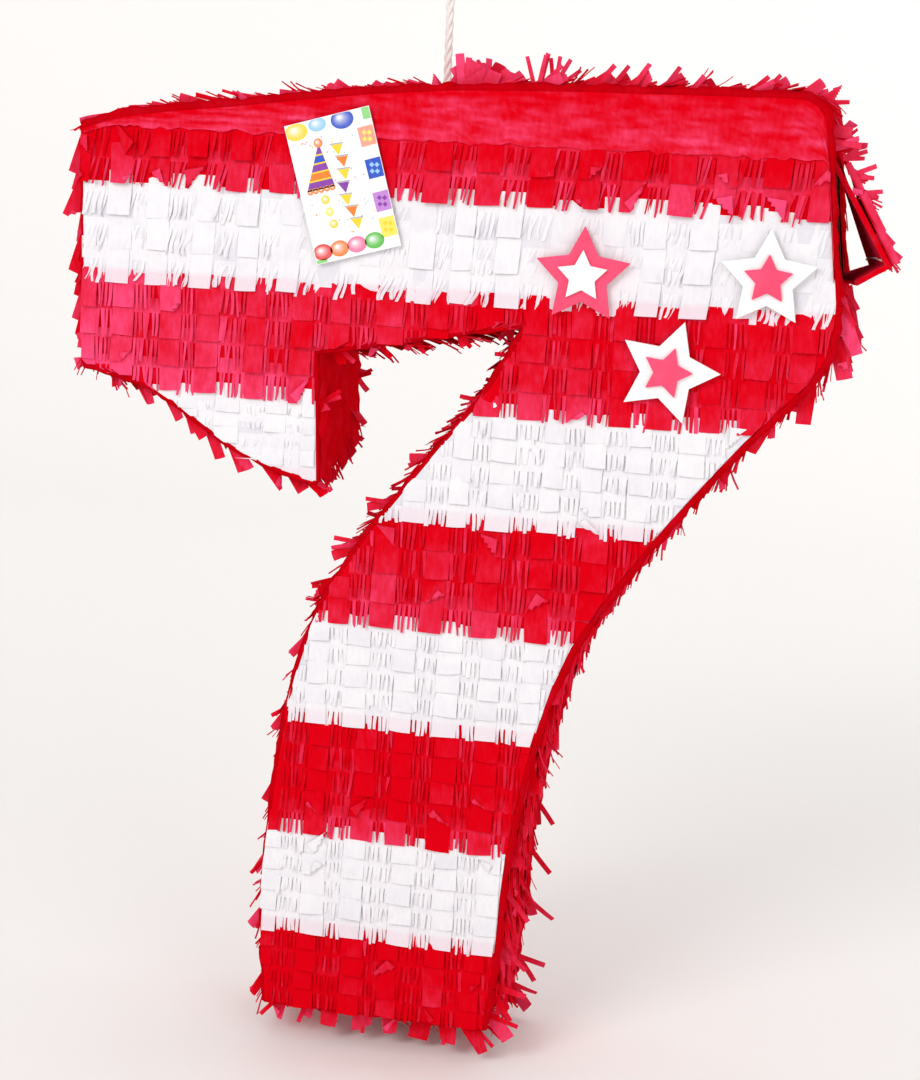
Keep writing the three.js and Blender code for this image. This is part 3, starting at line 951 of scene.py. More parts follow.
# Where strips stand out broadside, seen from the front: share of the edge's length, then
# each strip's (degrees, length, width).
HANDS = {
    "top": (
        (0.03, ((-78, 17, 8), (-96, 18, 4))), (0.10, ((-74, 17, 8), (-64, 15, 3))),
        (0.17, ((-76, 18, 7),)), (0.24, ((-74, 17, 8), (-62, 16, 3))), (0.31, ((-78, 18, 6),)),
        (0.37, ((-70, 17, 4), (-80, 18, 8), (-58, 13, 6))), (0.43, ((-72, 15, 7),)),
        (0.478, ((-30, 9, 9), (-72, 13, 3))),
        (0.518, ((-48, 11, 9), (-24, 15, 9), (-6, 20, 6), (12, 18, 4), (34, 17, 9), (58, 15, 9))),
        (0.55, ((20, 11, 9), (48, 14, 8), (68, 14, 3))),
        (0.615, ((-6, 19, 2.6), (8, 20, 2.8), (26, 21, 3), (44, 20, 2.8), (62, 17, 7))),
        (0.68, ((60, 15, 9), (40, 19, 3))), (0.73, ((52, 16, 8), (34, 19, 3))),
        (0.80, ((62, 13, 8), (45, 13, 3))), (0.88, ((55, 15, 7), (40, 16, 3), (68, 17, 3))),
        (0.95, ((50, 14, 3), (35, 14, 7))),
    ),
    "right": (
        (0.02, ((35, 15, 3), (10, 12, 7))), (0.10, ((-10, 16, 3), (12, 17, 3.2), (-28, 14, 2.6))),
        (0.97, ((62, 17, 3), (80, 34, 9), (88, 30, 8))),
    ),
    "outer_leg": (
        (0.03, ((58, 24, 10), (70, 28, 10))), (0.09, ((66, 24, 10),)), (0.15, ((68, 20, 8), (50, 13, 3))),
        (0.22, ((72, 20, 7),)), (0.30, ((76, 17, 6),)), (0.42, ((78, 18, 6),)), (0.55, ((74, 17, 7),)),
        (0.66, ((76, 19, 7),)), (0.76, ((48, 21, 3.4), (74, 17, 7))), (0.83, ((44, 24, 3.6),)),
        (0.89, ((38, 26, 3.6), (66, 18, 7))), (0.95, ((8, 22, 4), (44, 24, 3.6))),
        (0.985, ((36, 20, 9), (14, 20, 3.6))),
    ),
    "base": (
        (0.05, ((-30, 21, 11), (-46, 19, 3))), (0.16, ((-6, 15, 12), (8, 17, 3))), (0.3, ((6, 17, 13),)),
        (0.42, ((-4, 15, 14), (10, 13, 8))), (0.56, ((2, 15, 13), (-8, 17, 3))), (0.7, ((4, 13, 12),)),
        (0.82, ((10, 12, 10), (36, 17, 3))), (0.95, ((18, 14, 9), (40, 17, 3))),
    ),
    "inner_leg": (
        (0.03, ((-60, 18, 6), (-35, 15, 3))), (0.12, ((-55, 19, 7), (-75, 17, 3))),
        (0.20, ((-50, 19, 3), (-62, 18, 6))), (0.30, ((-66, 17, 6),)), (0.40, ((-58, 16, 6), (-40, 14, 3))),
        (0.50, ((-66, 19, 6),)), (0.58, ((-48, 18, 3), (-60, 19, 7), (-30, 14, 2.6))),
        (0.64, ((-25, 18, 3), (-45, 19, 3), (-60, 20, 7))), (0.71, ((-40, 18, 3), (-56, 19, 6))),
        (0.79, ((-45, 14, 5), (-62, 17, 3))), (0.88, ((-25, 13, 3), (-50, 14, 5))), (0.95, ((-30, 10, 3),)),
    ),
    "underbar": (
        (0.12, ((10, 9, 5), (40, 10, 3))), (0.35, ((-5, 8, 6), (-40, 11, 3), (-62, 10, 3))),
        (0.55, ((-20, 10, 4), (30, 8, 4))), (0.72, ((-35, 11, 3), (-10, 9, 6))),
        (0.9, ((0, 10, 8), (-40, 12, 3))),
    ),
    "lip_inner": ((0.42, ((-18, 13, 3), (-34, 14, 3), (5, 9, 7))),),
    "lip_bottom": (
        (0.04, ((-50, 16, 9), (-66, 18, 4))), (0.13, ((-66, 24, 3.6), (-52, 20, 8))),
        (0.24, ((-58, 21, 8), (-72, 20, 3))), (0.36, ((-50, 22, 4), (-62, 19, 8))),
        (0.47, ((-56, 24, 7),)), (0.57, ((-48, 18, 3.4), (-64, 22, 7))), (0.68, ((-58, 19, 7),)),
        (0.79, ((-50, 17, 8), (-70, 16, 3))), (0.91, ((-44, 14, 8), (-20, 12, 3))),
    ),
    "left": (
        (0.10, ((-74, 20, 8),)), (0.2, ((-70, 22, 8), (-80, 20, 7))), (0.32, ((-72, 24, 9),)),
        (0.43, ((-68, 16, 3), (-76, 22, 8))), (0.54, ((-70, 24, 10),)), (0.66, ((-74, 22, 9),)),
        (0.78, ((-70, 26, 11),)), (0.88, ((-72, 24, 9), (-60, 18, 4))), (0.97, ((-68, 22, 9),)),
    ),
}


def wall_rows(made, rng, path, edge, style, low, high):
    """Rows of cut strips over the whole of one wall."""
    rows = max(2, round(path.length / WALL_ROW))
    for row in range(rows + 1):
        start = path.length * (row + 0.15) / rows
        way = style["hang"]
        if way < 0:
            start = path.length - start
        if way == 0:
            way = -1 if path.place(start)[0][0] < 0 else 1
            start = start if way > 0 else start + 8 * MM
        reach = WALL_LENGTH
        if not 0 < start < path.length:
            continue
        left_over = start if way < 0 else path.length - start
        near_fold = edge == "top" and way > 0  # kept clear of the flap when it is laid back
        reach = min(reach, left_over + (1 if near_fold else 11) * MM)
        groups = {}
        for y, width, wide, group in columns_across(rng, low, high, tab=(10, 15), group=(3, 5)):
            if y - width / 2 < low or y + width / 2 > high:
                continue
            length = reach + rng.gauss(0, 1.5 if wide else 2.5) * MM
            if over_opening(edge, start, start + way * length, y, width / 2):
                continue
            if group not in groups:
                fans = not wide and rng.random() < style["fan"]
                mean = rng.uniform(0.45, 1.1) if fans else style["tab"] * rng.uniform(0.4, 1.9)
                groups[group] = mean
            lift = max(0.02, groups[group] + rng.gauss(0, 0.04 if wide else 0.12))
            spec = strip_spec(rng, width, length, wide)
            if not wide:
                spec["twist"] = rng.gauss(0, 0.8)
                spec["lean"] = rng.gauss(0, 0.12)
            tone = rng.gauss(0.16, 0.12)
            wall_strip(made, rng, path, start, way, y, spec, lift, style["sag"], tone)


def wall_piece(edge, seed):
    """All the tissue on one wall, in place of its CAD fringe."""
    rng = random.Random(seed)
    node = f"{edge}_fringe"
    style = WALLS[edge]
    path = Path(edge)
    low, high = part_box(node)
    made = Tissue()
    start, end = -0.6 * MM, path.length + 0.6 * MM
    if edge == "right":
        top, bottom, width = OPENING
        top -= OPENING_LIFT
        bottom += 0.3 * MM
        wrap(made, path, start, top, low.y, high.y, style["roll"])
        wrap(made, path, bottom, end, low.y, high.y, style["roll"])
        wrap(made, path, top, bottom, low.y, -width, style["roll"], (True, False))
        wrap(made, path, top, bottom, width, high.y, style["roll"], (False, True))
        wrap(made, path, top, OPENING[0] - 0.5 * MM, -width, width, 0, (False, False))
    else:
        wrap(made, path, start, end, low.y, high.y, style["roll"])
    if edge == "lip_inner":
        gathered(made, path, low.y, high.y)
        for y in (26 * MM, 34 * MM, 41 * MM):
            spec = strip_spec(rng, 9 * MM, 20 * MM, True)
            wall_strip(made, rng, path, rng.uniform(0.2, 0.7) * path.length, 1, y, spec, 0.5, 0.1, 0.2)
        for y, width, wide, _ in columns_across(rng, low.y + 8 * MM, high.y - 4 * MM):
            if low.y + 4 * MM < y - width / 2 and y + width / 2 < high.y - 3 * MM:
                spec = strip_spec(rng, width, 22 * MM, wide)
                wall_strip(made, rng, path, path.length - 15 * MM, 1, y, spec, 0.12, 0.1, 0.1)
    else:
        wall_rows(made, rng, path, edge, style, low.y + FRINGE_MARGIN, high.y - FRINGE_MARGIN)
    for share, pieces in HANDS[edge]:
        for side, edge_y in ((-1, low.y), (1, high.y)):
            jump = rng.uniform(-0.02, 0.02) if side > 0 else 0
            y = edge_y - side * rng.uniform(5, 12) * MM
            hand(made, rng, path, (share + jump) * path.length, y, pieces, side, style["tone"])
    piece = made.make(f"tissue_{node}", "red_tissue", "body")
    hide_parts(node)


def gathered(made, path, y_low, y_high):
    """Smooth tissue on the wall that faces the leg, crumpled into long soft creases."""
    rows, columns = 40, 52
    grid = np.zeros((rows, columns, 3))
    tint = np.zeros((rows, columns))
    for r in range(rows):
        t = path.length * r / (rows - 1)
        point, _, normal = path.place(t)
        for c in range(columns):
            y = y_low + 1 * MM + (y_high - y_low - 2 * MM) * c / (columns - 1)
            place = Vector((y / (34 * MM) + t / (70 * MM), t / (44 * MM) - y / (120 * MM), 1.3))
            fold = 1 - 2.4 * abs(noise.fractal(place, 0.9, 2.1, 3))
            edge = min(1, c / 4, (columns - 1 - c) / 4)
            puff = math.sin(math.pi * min(1, t / path.length)) * 1.5
            spot = point + normal * (1.6 + puff * edge + 3.0 * max(0, fold) * edge) * MM
            grid[r, c] = (spot[0], y, spot[1])
            # Painted shade: the dark tint goes into the hollows between the raised creases.
            tint[r, c] = -0.12 * fold
    made.sheet(grid, ALONG_X, 0.15, tint)


# ---- fill flap --------------------------------------------------------------------------


def flap_frame():
    """Corners of the flap card's outer face: its top and bottom ends at both sides."""
    points = np.array([tuple(v.co) for v in frame["nodes"]["flap_tissue"].data.vertices])
    ends = []
    for y in (points[:, 1].min(), points[:, 1].max()):
        side = points[np.abs(points[:, 1] - y) < 0.5 * MM]
        side = side[np.argsort(side[:, 2])]
        low, high = side[:2], side[-2:]
        ends.append((high[np.argmin(high[:, 0])], low[np.argmin(low[:, 0])]))
    return ends


def flap_place(ends, across, down):
    """Point, downward direction and outward normal on the flap's outer face."""
    top = ends[0][0] + (ends[1][0] - ends[0][0]) * across
    low = ends[0][1] + (ends[1][1] - ends[0][1]) * across
    heading = (low - top) / np.linalg.norm(low - top)
    return top + (low - top) * down, heading, np.array([-heading[2], 0, heading[0]])


def flap_strip(made, ends, across, down, spec, lift, tone):
    """One strip glued on the flap's outer face, hanging down it."""
    root, heading, normal = flap_place(ends, across, down)
    place = root + normal * 0.9 * MM
    centre, out = [], []
    for i in range(STRIP_STEPS):
        s = i / (STRIP_STEPS - 1)
        angle = 0.06 + lift * min(1, 1.6 * s) + spec["curl"] * s**2
        centre.append(place)
        out.append(normal * math.cos(angle) - heading * math.sin(angle))
        direction = heading * math.cos(angle) + normal * math.sin(angle)
        place = place + direction * spec["length"] / (STRIP_STEPS - 1)
    curve = (np.linspace(0, spec["length"], STRIP_STEPS), np.array(centre), np.array(out))
    grid, light = lay_strip(curve, ALONG_Y, spec)
    along = np.linspace(0, 1, grid.shape[0])[:, None]
    # Painted light: lighter towards the tip, for light shining through the single ply.
    made.sheet(grid, normal, tone + light + 0.4 * along)


def front_strip(made, root, heading, across, spec):
    """A straight strip on the flap, broadside to the front."""
    reach = np.linspace(0, spec["length"], STRIP_STEPS)
    out = np.tile(TO_FRONT, (STRIP_STEPS, 1))
    grid, light = lay_strip((reach, root + heading * reach[:, None], out), across, spec)
    made.sheet(grid, TO_FRONT, 0.75 + light)


def flap_hand(made, rng, ends, across, down, pieces):
    """Strips on the flap that stand out broadside to the front."""
    root, heading, normal = flap_place(ends, across, down)
    for degrees, length, width in pieces:
        spec = strip_spec(rng, width * MM, length * MM, width > WIDE)
        spec.update(width=width * MM, taper=0.1, twist=rng.gauss(0, 0.3), fold=None)
        angle = math.radians(degrees)
        flat = normal * math.cos(angle) + heading * math.sin(angle)
        across = np.array([-flat[2], 0, flat[0]])
        front_strip(made, root + normal * 0.9 * MM, flat, across, spec)


FLAP_CARD = 2.7 * MM  # thickness


def flap_hem(made, rng, ends, start, length):
    """A tab that stands off the flap's outer face along its front edge, hanging down it."""
    root, heading, normal = flap_place(ends, 0.02, start)
    width = rng.uniform(3.6, 4.8) * MM
    spec = strip_spec(rng, width, length, True)
    spec.update(slant=rng.uniform(1, 3) * MM, lean=0.03, twist=0.2)
    front_strip(made, root + normal * (0.2 * MM + width / 2), heading, normal, spec)


FLAP_ROWS = 4
FLAP_HEMS = (0.1, 0.36, 0.64)  # where each tab along the front edge starts, as shares of it
HEM_SHARE = 0.36  # and how much of it each one covers

# Where strips stand out from the flap: share of the way down, then each one's (degrees,
# length, width), in millimetres.
FLAP_HANDS = (
    (0.05, ((12, 14, 2.8), (30, 12, 3), (-6, 12, 2.6))), (0.2, ((10, 15, 3), (32, 13, 2.8))),
    (0.36, ((20, 13, 3), (40, 11, 6))), (0.7, ((72, 12, 7),)), (0.86, ((62, 10, 6),)),
)


def flap_fringe():
    """Fringe on the flap's outer face, whose slivers stand well off it near the fold."""
    rng = random.Random(71)
    ends = flap_frame()
    y_low, y_high = ends[0][0][1], ends[1][0][1]
    length = np.linalg.norm(ends[0][1] - ends[0][0])
    made = Tissue()
    grid = np.zeros((12, 9, 3))
    for i, j in np.ndindex(12, 9):
        point, _, normal = flap_place(ends, j / 8, i / 11)
        grid[i, j] = point + normal * (0.6 * MM)
    made.sheet(grid, ALONG_X, tone=0.3, tint=0.2, thickness=0.5 * MM)
    for row in range(FLAP_ROWS):
        for y, width, wide, _ in columns_across(rng, y_low, y_high, tab=(8, 13), group=(3, 4)):
            if not width / 2 < y - y_low < y_high - y_low - width / 2:
                continue
            own = length / FLAP_ROWS + rng.uniform(3, 6) * MM
            spec = strip_spec(rng, width, own, wide)
            lift = rng.uniform(0.04, 0.16) if wide else rng.uniform(0.1, 0.35 if row > 1 else 0.8)
            flap_strip(made, ends, (y - y_low) / (y_high - y_low), row / FLAP_ROWS, spec, lift, 0.35)
    for down, pieces in FLAP_HANDS:
        flap_hand(made, rng, ends, 0.04, down, pieces)
    for start in FLAP_HEMS:
        flap_hem(made, rng, ends, start, HEM_SHARE * length)
    piece = made.make("tissue_flap", "red_tissue", "flap")
    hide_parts("flap_tissue")


TORN_STEPS = 24
TORN_WIDTH = 1.1 * MM
TORN_LIFT = 1.5 * MM  # off the card's inner face, so that it clears the tissue glued there


def torn_edge():
    """The torn white edge of a layer of paper, across the flap just above its tuck tab."""
    ends = flap_frame()
    made = Tissue()
    grid = np.zeros((2, TORN_STEPS, 3))
    for c in range(TORN_STEPS):
        across = 0.01 + 0.98 * c / (TORN_STEPS - 1)
        crease, heading, normal = flap_place(ends, across, 1)
        ragged = 0.5 * noise.noise(Vector((c / 2, 0, 0)))
        rise = FLAP_CARD + (2.5 + 1.6 * math.sin(3 * across) + ragged) * MM
        spot = crease - heading * rise - normal * (FLAP_CARD + TORN_LIFT)
        grid[:, c] = spot, spot - heading * TORN_WIDTH
    made.sheet(grid, -normal, tone=0.95)
    made.make("flap_torn_edge", "white_tissue", "flap")


def flap_cover():
    """Tissue glued round the flap's card, lighter on the side that faces the opening: painted light on a
    face that the flap itself shades.
    """
    source = frame["nodes"]["fill_flap"].data
    work = bmesh.new()
    work.from_mesh(source)
    bmesh.ops.remove_doubles(work, verts=work.verts, dist=0.01 * MM)
    bmesh.ops.subdivide_edges(work, edges=work.edges, cuts=3, use_grid_fill=True)
    work.normal_update()
    for vertex in work.verts:
        crinkle = noise.fractal(vertex.co / (6 * MM), 0.8, 2.0, 3)
        vertex.co += vertex.normal * (0.34 + 0.16 * crinkle) * MM
    mesh = bpy.data.meshes.new("flap_cover")
    work.to_mesh(mesh)
    work.free()
    paint(mesh, [(0.5 if v.normal.x < -0.3 else 0.15, 0, 0, 1) for v in mesh.vertices])
    shade_smooth(mesh)
    mesh.set_sharp_from_angle(angle=CREASE_ANGLE)
    add_piece("flap_cover", mesh, "red_tissue", "flap")


# ---- stars and tag ----------------------------------------------------------------------


def plate(name, outline, front, back, bevel, slot_name):
    """A cut sheet of the given outline with its edges eased."""
    count = len(outline)
    vertices = [(x, front, z) for x, z in outline] + [(x, back, z) for x, z in outline]
    faces = [tuple(range(count)), tuple(range(2 * count - 1, count - 1, -1))]
    for i in range(count):
        j = (i + 1) % count
        faces.append((j, i, i + count, j + count))
    piece = add_piece(name, make_mesh(name, vertices, faces), slot_name, "body")
    eased = piece.modifiers.new("eased", "BEVEL")
    eased.width = bevel
    eased.segments = 3
    eased.limit_method = "ANGLE"
    return piece


STAR_EDGE = 0.45 * MM  # how far the foam's cut edges are rounded
TAG_EDGE = 0.12 * MM


def make_stars():
    for name in ("star_left", "star_right", "star_low"):
        for layer in ("base", "top"):
            node = f"{name}_{layer}"
            low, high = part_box(node)
            piece = plate(f"foam_{node}", face_outline(node), low.y, high.y, STAR_EDGE, SLOTS[node])
            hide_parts(node)


INKS = {
    "yellow": (0.93, 0.66, 0.02), "sky": (0.30, 0.58, 0.90), "blue": (0.02, 0.08, 0.55),
    "red": (0.75, 0.03, 0.03), "orange": (0.90, 0.22, 0.02), "rose": (0.85, 0.18, 0.35),
    "green": (0.08, 0.50, 0.04), "leaf": (0.28, 0.68, 0.22), "salmon": (0.90, 0.36, 0.26),
    "violet": (0.25, 0.04, 0.38), "lilac": (0.55, 0.24, 0.66), "lemon": (0.90, 0.78, 0.12),
    "grey": (0.42, 0.42, 0.46),
}

PAPER_WHITE = (0.93, 0.93, 0.925, 1)


class Print:
    """Flat printed shapes on the tag, in its own right and up directions, cut at its edge."""

    def __init__(self, origin, right, up, out, width, height):
        self.origin, self.right, self.up, self.out = origin, right, up, out
        self.width, self.height = width, height
        self.vertices, self.faces, self.colours = [], [], []

    def point(self, u, v, layer, colour):
        edge = 0.35 * MM
        u = min(max(u, edge), self.width - edge)
        v = min(max(v, edge), self.height - edge)
        lift = (0.03 + 0.02 * layer) * MM
        self.vertices.append(self.origin + self.right * u + self.up * v + self.out * lift)
        self.colours.append((*colour, 1))

    def shape(self, points, ink, layer):
        """A filled shape, its points in millimetres and running anticlockwise."""
        first = len(self.vertices)
        for u, v in points:
            self.point(u * MM, v * MM, layer, INKS[ink])
        self.faces.append(tuple(range(first, first + len(points))))

    def rect(self, u, v, w, h, ink, layer, turn=0.0):
        c, s = math.cos(turn), math.sin(turn)
        ends = [(-w / 2, -h / 2), (w / 2, -h / 2), (w / 2, h / 2), (-w / 2, h / 2)]
        self.shape([(u + a * c - b * s, v + a * s + b * c) for a, b in ends], ink, layer)

    def ball(self, u, v, w, h, ink, layer=1):
        """A balloon or sweet, shaded from a highlight near its top left."""
        colour = INKS[ink]
        rings = ((1.0, 0.0), (0.72, 0.08), (0.4, 0.35), (0.12, 0.85))
        first, count = len(self.vertices), 20
        for share, white in rings:
            tint = tuple(c + (1 - c) * white for c in colour)
            for i in range(count):
                a = 2 * math.pi * i / count
                x = u - 0.13 * w * (1 - share) + w / 2 * share * math.cos(a)
                y = v + 0.16 * h * (1 - share) + h / 2 * share * math.sin(a)
                self.point(x * MM, y * MM, layer, tint)
        for ring in range(len(rings) - 1):
            for i in range(count):
                a, b = first + ring * count + i, first + ring * count + (i + 1) % count
                self.faces.append((a, b, b + count, a + count))
        last = first + (len(rings) - 1) * count
        self.faces.append(tuple(range(last, last + count)))

    def make(self, name):
        mesh = make_mesh(name, self.vertices, self.faces)
        paint(mesh, self.colours)
        add_piece(name, mesh, "tag_card", "body")


def print_tag(ink, high):
    """Balloons along the tag's top and bottom, squares down its right side, and between
    them a party hat, a string of pennants and confetti. No words."""
    rng = random.Random(5)
    ink.ball(6.5, high - 5, 14, 10, "yellow")
    ink.ball(20, high - 3.5, 11, 8, "sky")
    ink.ball(35.5, high - 4, 14, 11, "blue")
    for u, tint, w in ((5.5, "red", 12), (16, "orange", 11.5), (27, "rose", 12), (38, "green", 12)):
        ink.ball(u, 6.5, w, 9.5, tint)
    ink.rect(3.5, 1.2, 7, 2.4, "leaf", 1)
    ink.rect(50.6, high - 3.6, 5, 7, "leaf", 1)
    squares = (
        (66.4, "salmon", "lemon"), (47.4, "blue", "sky"), (27.8, "lilac", "violet"),
        (12.6, "lemon", "yellow"),
    )
    for v, tint, mark in squares:
        ink.rect(48, v, 9.6, 11.4, tint, 1, 0.02)
        for k in range(4):
            a = k * math.pi / 2 + 0.6
            ink.rect(48 + 2.2 * math.cos(a), v + 2.7 * math.sin(a), 2.2, 2.2, mark, 2, a)
    for _ in range(40):
        u, v = rng.uniform(3, 42), rng.uniform(14, high - 11)
        tint = rng.choice(("yellow", "rose", "sky", "leaf", "grey", "orange"))
        ink.rect(u, v, 0.8, 0.8, tint, 1, rng.uniform(0, 3))
    half, stripe, point, lean = 8.6, 4.8, 5.4, 0.18  # the hat's foot, stripes, and point in stripes
    for k, tint in enumerate(("violet", "orange", "violet", "blue", "violet")):
        low, top = half * (1 - k / point), half * (1 - (k + 1) / point)
        u, u_top = 13.5 + lean * stripe * k, 13.5 + lean * stripe * (k + 1)
        v = 43 + stripe * k
        v_top = v + stripe
        ink.shape([(u - low, v), (u + low, v), (u_top + top, v_top), (u_top - top, v_top)], tint, 2)
        ink.rect(u, v, 2 * low, 0.9, "yellow", 3)
    ink.ball(18, 69, 5.4, 5.4, "orange", 3)
    for k in range(5):
        ink.ball(6.4 + 3.5 * k, 42.2, 3.6, 3.6, "orange", 3)
    pennants = ("yellow", "orange", "yellow", "violet", "yellow", "orange", "yellow")
    for k, tint in enumerate(pennants):
        u, v = 28.5 + 1.6 * math.sin(k * 1.3), 66 - 7.4 * k
        ink.shape([(u - 3.4, v), (u + 0.2, v - 6.6), (u + 3.8, v - 0.6)], tint, 2)
        ink.rect(u + 0.2, v + 0.2, 8.2, 0.7, "grey", 1, -0.08)
    for k, tint in enumerate(("yellow", "lemon", "yellow")):
        ink.ball(14.5 + 0.8 * k, 36 - 7.4 * k, 5.2, 5.2, tint, 2)


def make_tag():
    """The printed card tag."""
    node = "tag_card"
    outline = face_outline(node)
    low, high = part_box(node)
    piece = plate("tag", outline, low.y, high.y, TAG_EDGE, "tag_card")
    paint(piece.data, [PAPER_WHITE] * len(piece.data.vertices))
    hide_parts(node)

    corners = [Vector((x, low.y, z)) for x, z in outline]
    bottom = sorted(corners, key=lambda p: p.z)[:2]
    left, right_end = sorted(bottom, key=lambda p: p.x)
    right = (right_end - left).normalized()
    up = Vector((-right.z, 0, right.x))
    width = (right_end - left).length
    height = max((p - left).dot(up) for p in corners)
    ink = Print(left, right, up, Vector(TO_FRONT), width, height)
    print_tag(ink, height / MM)
    ink.make("tag_print")


# ---- cord -------------------------------------------------------------------------------

CORD = 5 * MM
SIDES = 10  # of each strand and of the cord round a knot
STRANDS = 3
STRAND = 1.25 * MM  # radius
LAY_RADIUS = 1.24 * MM  # from the cord's middle to each strand's
LAY_LENGTH = 22 * MM  # of one full turn of the strands

KNOT_CORD = 2.1 * MM  # radius of the cord wound round a knot, pulled tight
KNOT_CORE = 2.6 * MM  # radius of what it is wound round
KNOT_TURNS = 3.2
KNOT_STEPS = 90
KNOT_WAIST = 0.12  # how much tighter its ends are than its middle

CORD_STEPS = 64
LOOP_STEPS = 96
LOOP_HALF_WIDTH = 13 * MM
LOOP_FOOT = 3.2 * MM  # each leg of the loop leaves the knot this far from its middle
LOOP_WIDEST = 0.58  # share of the way up


def smooth_path(points, count):
    """Points along a Catmull-Rom curve through given ones, ends included."""
    p = [np.array(q, float) for q in points]
    p = [2 * p[0] - p[1]] + p + [2 * p[-1] - p[-2]]
    result = []
    for k in range(count + 1):
        u = k / count * (len(p) - 3)
        i = min(int(u), len(p) - 4)
        f = u - i
        a, b, c, d = p[i : i + 4]
        result.append(
            0.5 * (2 * b + (c - a) * f + (2 * a - 5 * b + 4 * c - d) * f**2
                   + (3 * b - a - 3 * c + d) * f**3)
        )
    return np.array(result)


def unit(vectors):
    return vectors / np.linalg.norm(vectors, axis=1, keepdims=True)


def frames_along(path):
    """Two steady cross directions along a path that stays near a plane of x and z."""
    tangents = unit(np.gradient(path, axis=0))
    side = unit(ALONG_Y - tangents * tangents[:, 1:2])
    return side, np.cross(tangents, side)


def rings_along(path, side, other, radius):
    """A ring of points round each point of a path, in the plane of its cross directions."""
    points = []
    for p, a, b in zip(path, side, other):
        for k in range(SIDES):
            w = 2 * math.pi * k / SIDES
            points.append(p + (a * math.cos(w) + b * math.sin(w)) * radius)
    return points


def ring_steps(count):
    """For each face between neighbouring rings: its corners on one ring, then on the next."""
    for i in range(count - 1):
        for k in range(SIDES):
            a, b = i * SIDES + k, i * SIDES + (k + 1) % SIDES
            yield a, b, a + SIDES, b + SIDES


def tube(path, radius):
    """Points and faces of a closed round tube along a path."""
    last = (len(path) - 1) * SIDES
    faces = [(a, b, d, c) for a, b, c, d in ring_steps(len(path))]
    faces.append(tuple(range(SIDES - 1, -1, -1)))
    faces.append(tuple(range(last, last + SIDES)))
    return rings_along(path, *frames_along(path), radius), faces


def cord_mesh(name, tubes, node):
    """One piece of cord from the points and faces of its tubes, in place of a CAD node."""
    vertices, faces = [], []
    for more, rings in tubes:
        faces += [tuple(i + len(vertices) for i in f) for f in rings]
        vertices += more
    mesh = make_mesh(name, vertices, faces)
    shade_smooth(mesh)
    piece = add_piece(name, mesh, "cotton_cord", "body")
    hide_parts(node)
    return piece


def twisted(path):
    """Strands laid round each other along a path."""
    side, other = frames_along(path)
    steps = np.linalg.norm(np.diff(path, axis=0), axis=1)
    along = np.concatenate([[0], np.cumsum(steps)])
    strands = []
    for strand in range(STRANDS):
        angle = 2 * math.pi * (along / LAY_LENGTH + strand / STRANDS)[:, None]
        strands.append(tube(path + (side * np.cos(angle) + other * np.sin(angle)) * LAY_RADIUS, STRAND))
    return strands


def wrapped_knot(low, high):
    """Turns of cord wound round the cord itself."""
    middle = (low + high) / 2
    radius = (high.x - low.x) / 2 - KNOT_CORD
    height = high.z - low.z - 2 * KNOT_CORD
    path = []
    for i in range(KNOT_STEPS + 1):
        s = i / KNOT_STEPS
        a = s * KNOT_TURNS * 2 * math.pi
        squeeze = 1 - KNOT_WAIST * (2 * s - 1) ** 2
        path.append((
            middle.x + radius * squeeze * math.cos(a),
            middle.y + radius * squeeze * math.sin(a),
            middle.z + height * (s - 0.5),
        ))
    path = np.array(path)
    core = np.array([(middle.x, middle.y, low.z + (high.z - low.z) * f) for f in (0.02, 0.3, 0.6, 0.98)])
    radial = path - np.array([middle.x, middle.y, 0])
    radial[:, 2] = 0
    radial = unit(radial)
    upward = np.cross(unit(np.gradient(path, axis=0)), radial)
    last = KNOT_STEPS * SIDES
    faces = [(a, c, d, b) for a, b, c, d in ring_steps(KNOT_STEPS + 1)]
    faces.append(tuple(range(SIDES)))
    faces.append(tuple(range(last + SIDES - 1, last - 1, -1)))
    return [(rings_along(path, radial, upward, KNOT_CORD), faces), tube(core, KNOT_CORE)]


def make_cord():
    low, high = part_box("hanging_cord")
    heights = [low.z + (high.z - low.z) * i / CORD_STEPS for i in range(CORD_STEPS + 1)]
    straight = np.array([(0, 0, z) for z in heights])
    cord = cord_mesh("cord", twisted(straight), "hanging_cord")
    knot = cord_mesh("cord_knot", wrapped_knot(*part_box("loop_knot")), "loop_knot")
    inner = cord_mesh("cord_inner_knot", wrapped_knot(*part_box("inner_knot")), "inner_knot")
    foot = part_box("cord_loop")[0].z
    crown = CORD / 2
    widest = foot + LOOP_WIDEST * (crown - foot)
    hand_points = [
        (-LOOP_FOOT, 0, foot), (-LOOP_HALF_WIDTH, 0, widest), (0, 0, crown),
        (LOOP_HALF_WIDTH, 0, widest), (LOOP_FOOT, 0, foot),
    ]
    loop_path = smooth_path(hand_points, LOOP_STEPS)
    loop = cord_mesh("cord_loop_twisted", twisted(loop_path), "cord_loop")


# ---- studio -----------------------------------------------------------------------------

FLOOR_DROP = 20 * MM
BACKDROP_FRONT = -2.2
BACKDROP_BACK = 2.3
BACKDROP_BEND = 0.7
BACKDROP_HEIGHT = 2.6
BACKDROP_HALF = 4.0


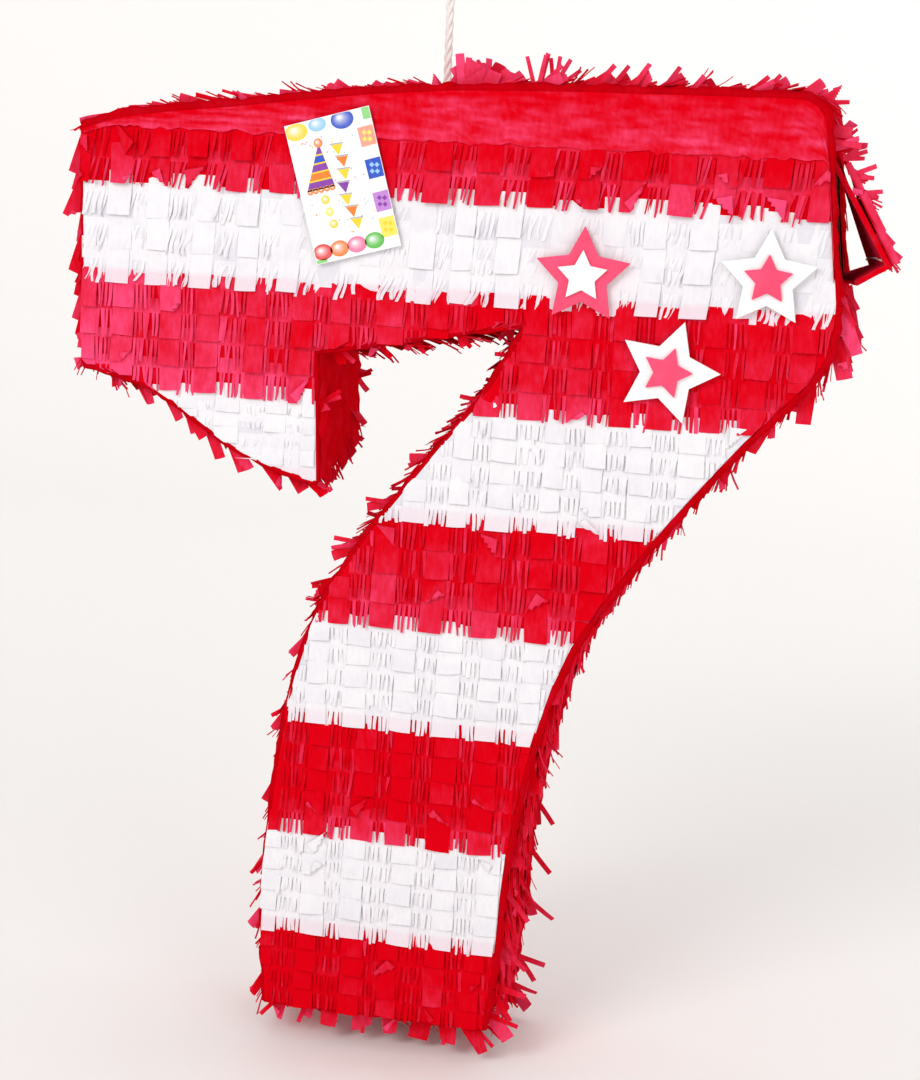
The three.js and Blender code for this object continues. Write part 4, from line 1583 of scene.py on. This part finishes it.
def make_backdrop():
    """A pale floor that curves up into a pale wall."""
    floor = cad_low.z - FLOOR_DROP
    profile = [(BACKDROP_FRONT, floor), (BACKDROP_BACK - BACKDROP_BEND, floor)]
    for i in range(1, 13):
        a = math.pi / 2 * i / 12
        profile.append((
            BACKDROP_BACK - BACKDROP_BEND + BACKDROP_BEND * math.sin(a),
            floor + BACKDROP_BEND * (1 - math.cos(a)),
        ))
    profile.append((BACKDROP_BACK, floor + BACKDROP_HEIGHT))
    vertices = [(x, y, z) for y, z in profile for x in (-BACKDROP_HALF, BACKDROP_HALF)]
    faces = [(2 * i, 2 * i + 1, 2 * i + 3, 2 * i + 2) for i in range(len(profile) - 1)]
    mesh = make_mesh("backdrop", vertices, faces)
    shade_smooth(mesh)
    paper = bpy.data.materials.new("backdrop")
    paper.use_nodes = True
    shader = paper.node_tree.nodes["Principled BSDF"]
    shader.inputs["Base Color"].default_value = (0.96, 0.945, 0.93, 1)
    shader.inputs["Roughness"].default_value = 0.9
    mesh.materials.append(paper)
    add_object("backdrop", mesh)


def softbox(name, place, target, size, power):
    """A rectangular lamp at place, turned towards target; size in metres, power in watts."""
    data = bpy.data.lights.new(name, "AREA")
    data.shape = "RECTANGLE"
    data.size, data.size_y = size
    data.energy = power
    light = add_object(name, data)
    light.location = place
    light.rotation_mode = "QUATERNION"
    light.rotation_quaternion = (Vector(target) - Vector(place)).to_track_quat("-Z", "Y")


def make_light():
    world = bpy.data.worlds.new("studio")
    world.use_nodes = True
    sky = world.node_tree.nodes["Background"]
    sky.inputs["Color"].default_value = (1.0, 0.99, 0.985, 1)
    sky.inputs["Strength"].default_value = 0.58
    bpy.context.scene.world = world
    middle = (cad_low + cad_high) / 2
    above = middle + Vector((0, 0, 0.12))
    softbox("key", place=(-0.85, -1.9, 0.85), target=above, size=(1.0, 1.0), power=22)
    softbox("fill", place=(1.6, -1.7, 0.1), target=middle, size=(1.2, 1.5), power=11)
    for side, power in ((-1, 6), (1, 9)):
        place = (side * 2.1, 0.7, -0.1)
        target = (side * 0.4, BACKDROP_BACK, -1.0)
        softbox("backdrop_light", place, target, size=(0.8, 1.4), power=power)
    softbox("floor_light", place=(0.2, 1.3, 1.1), target=(0.2, 1.3, -1), size=(2.2, 1.2), power=6)
    bpy.context.scene.view_settings.view_transform = "Standard"


# ---- assembly ---------------------------------------------------------------------------

make_cord()
for face, side, seed in (("front", -1, 100), ("back", 1, 200)):
    bands = sorted(name for name in frame["nodes"] if name.startswith(f"{face}_fringe"))
    for order, node in enumerate(bands):
        face_band(node, side, seed + order)
for order, edge in enumerate(WALLS):
    wall_piece(edge, 300 + order)
flap_cover()
torn_edge()
flap_fringe()
make_stars()
make_tag()
make_backdrop()
make_light()
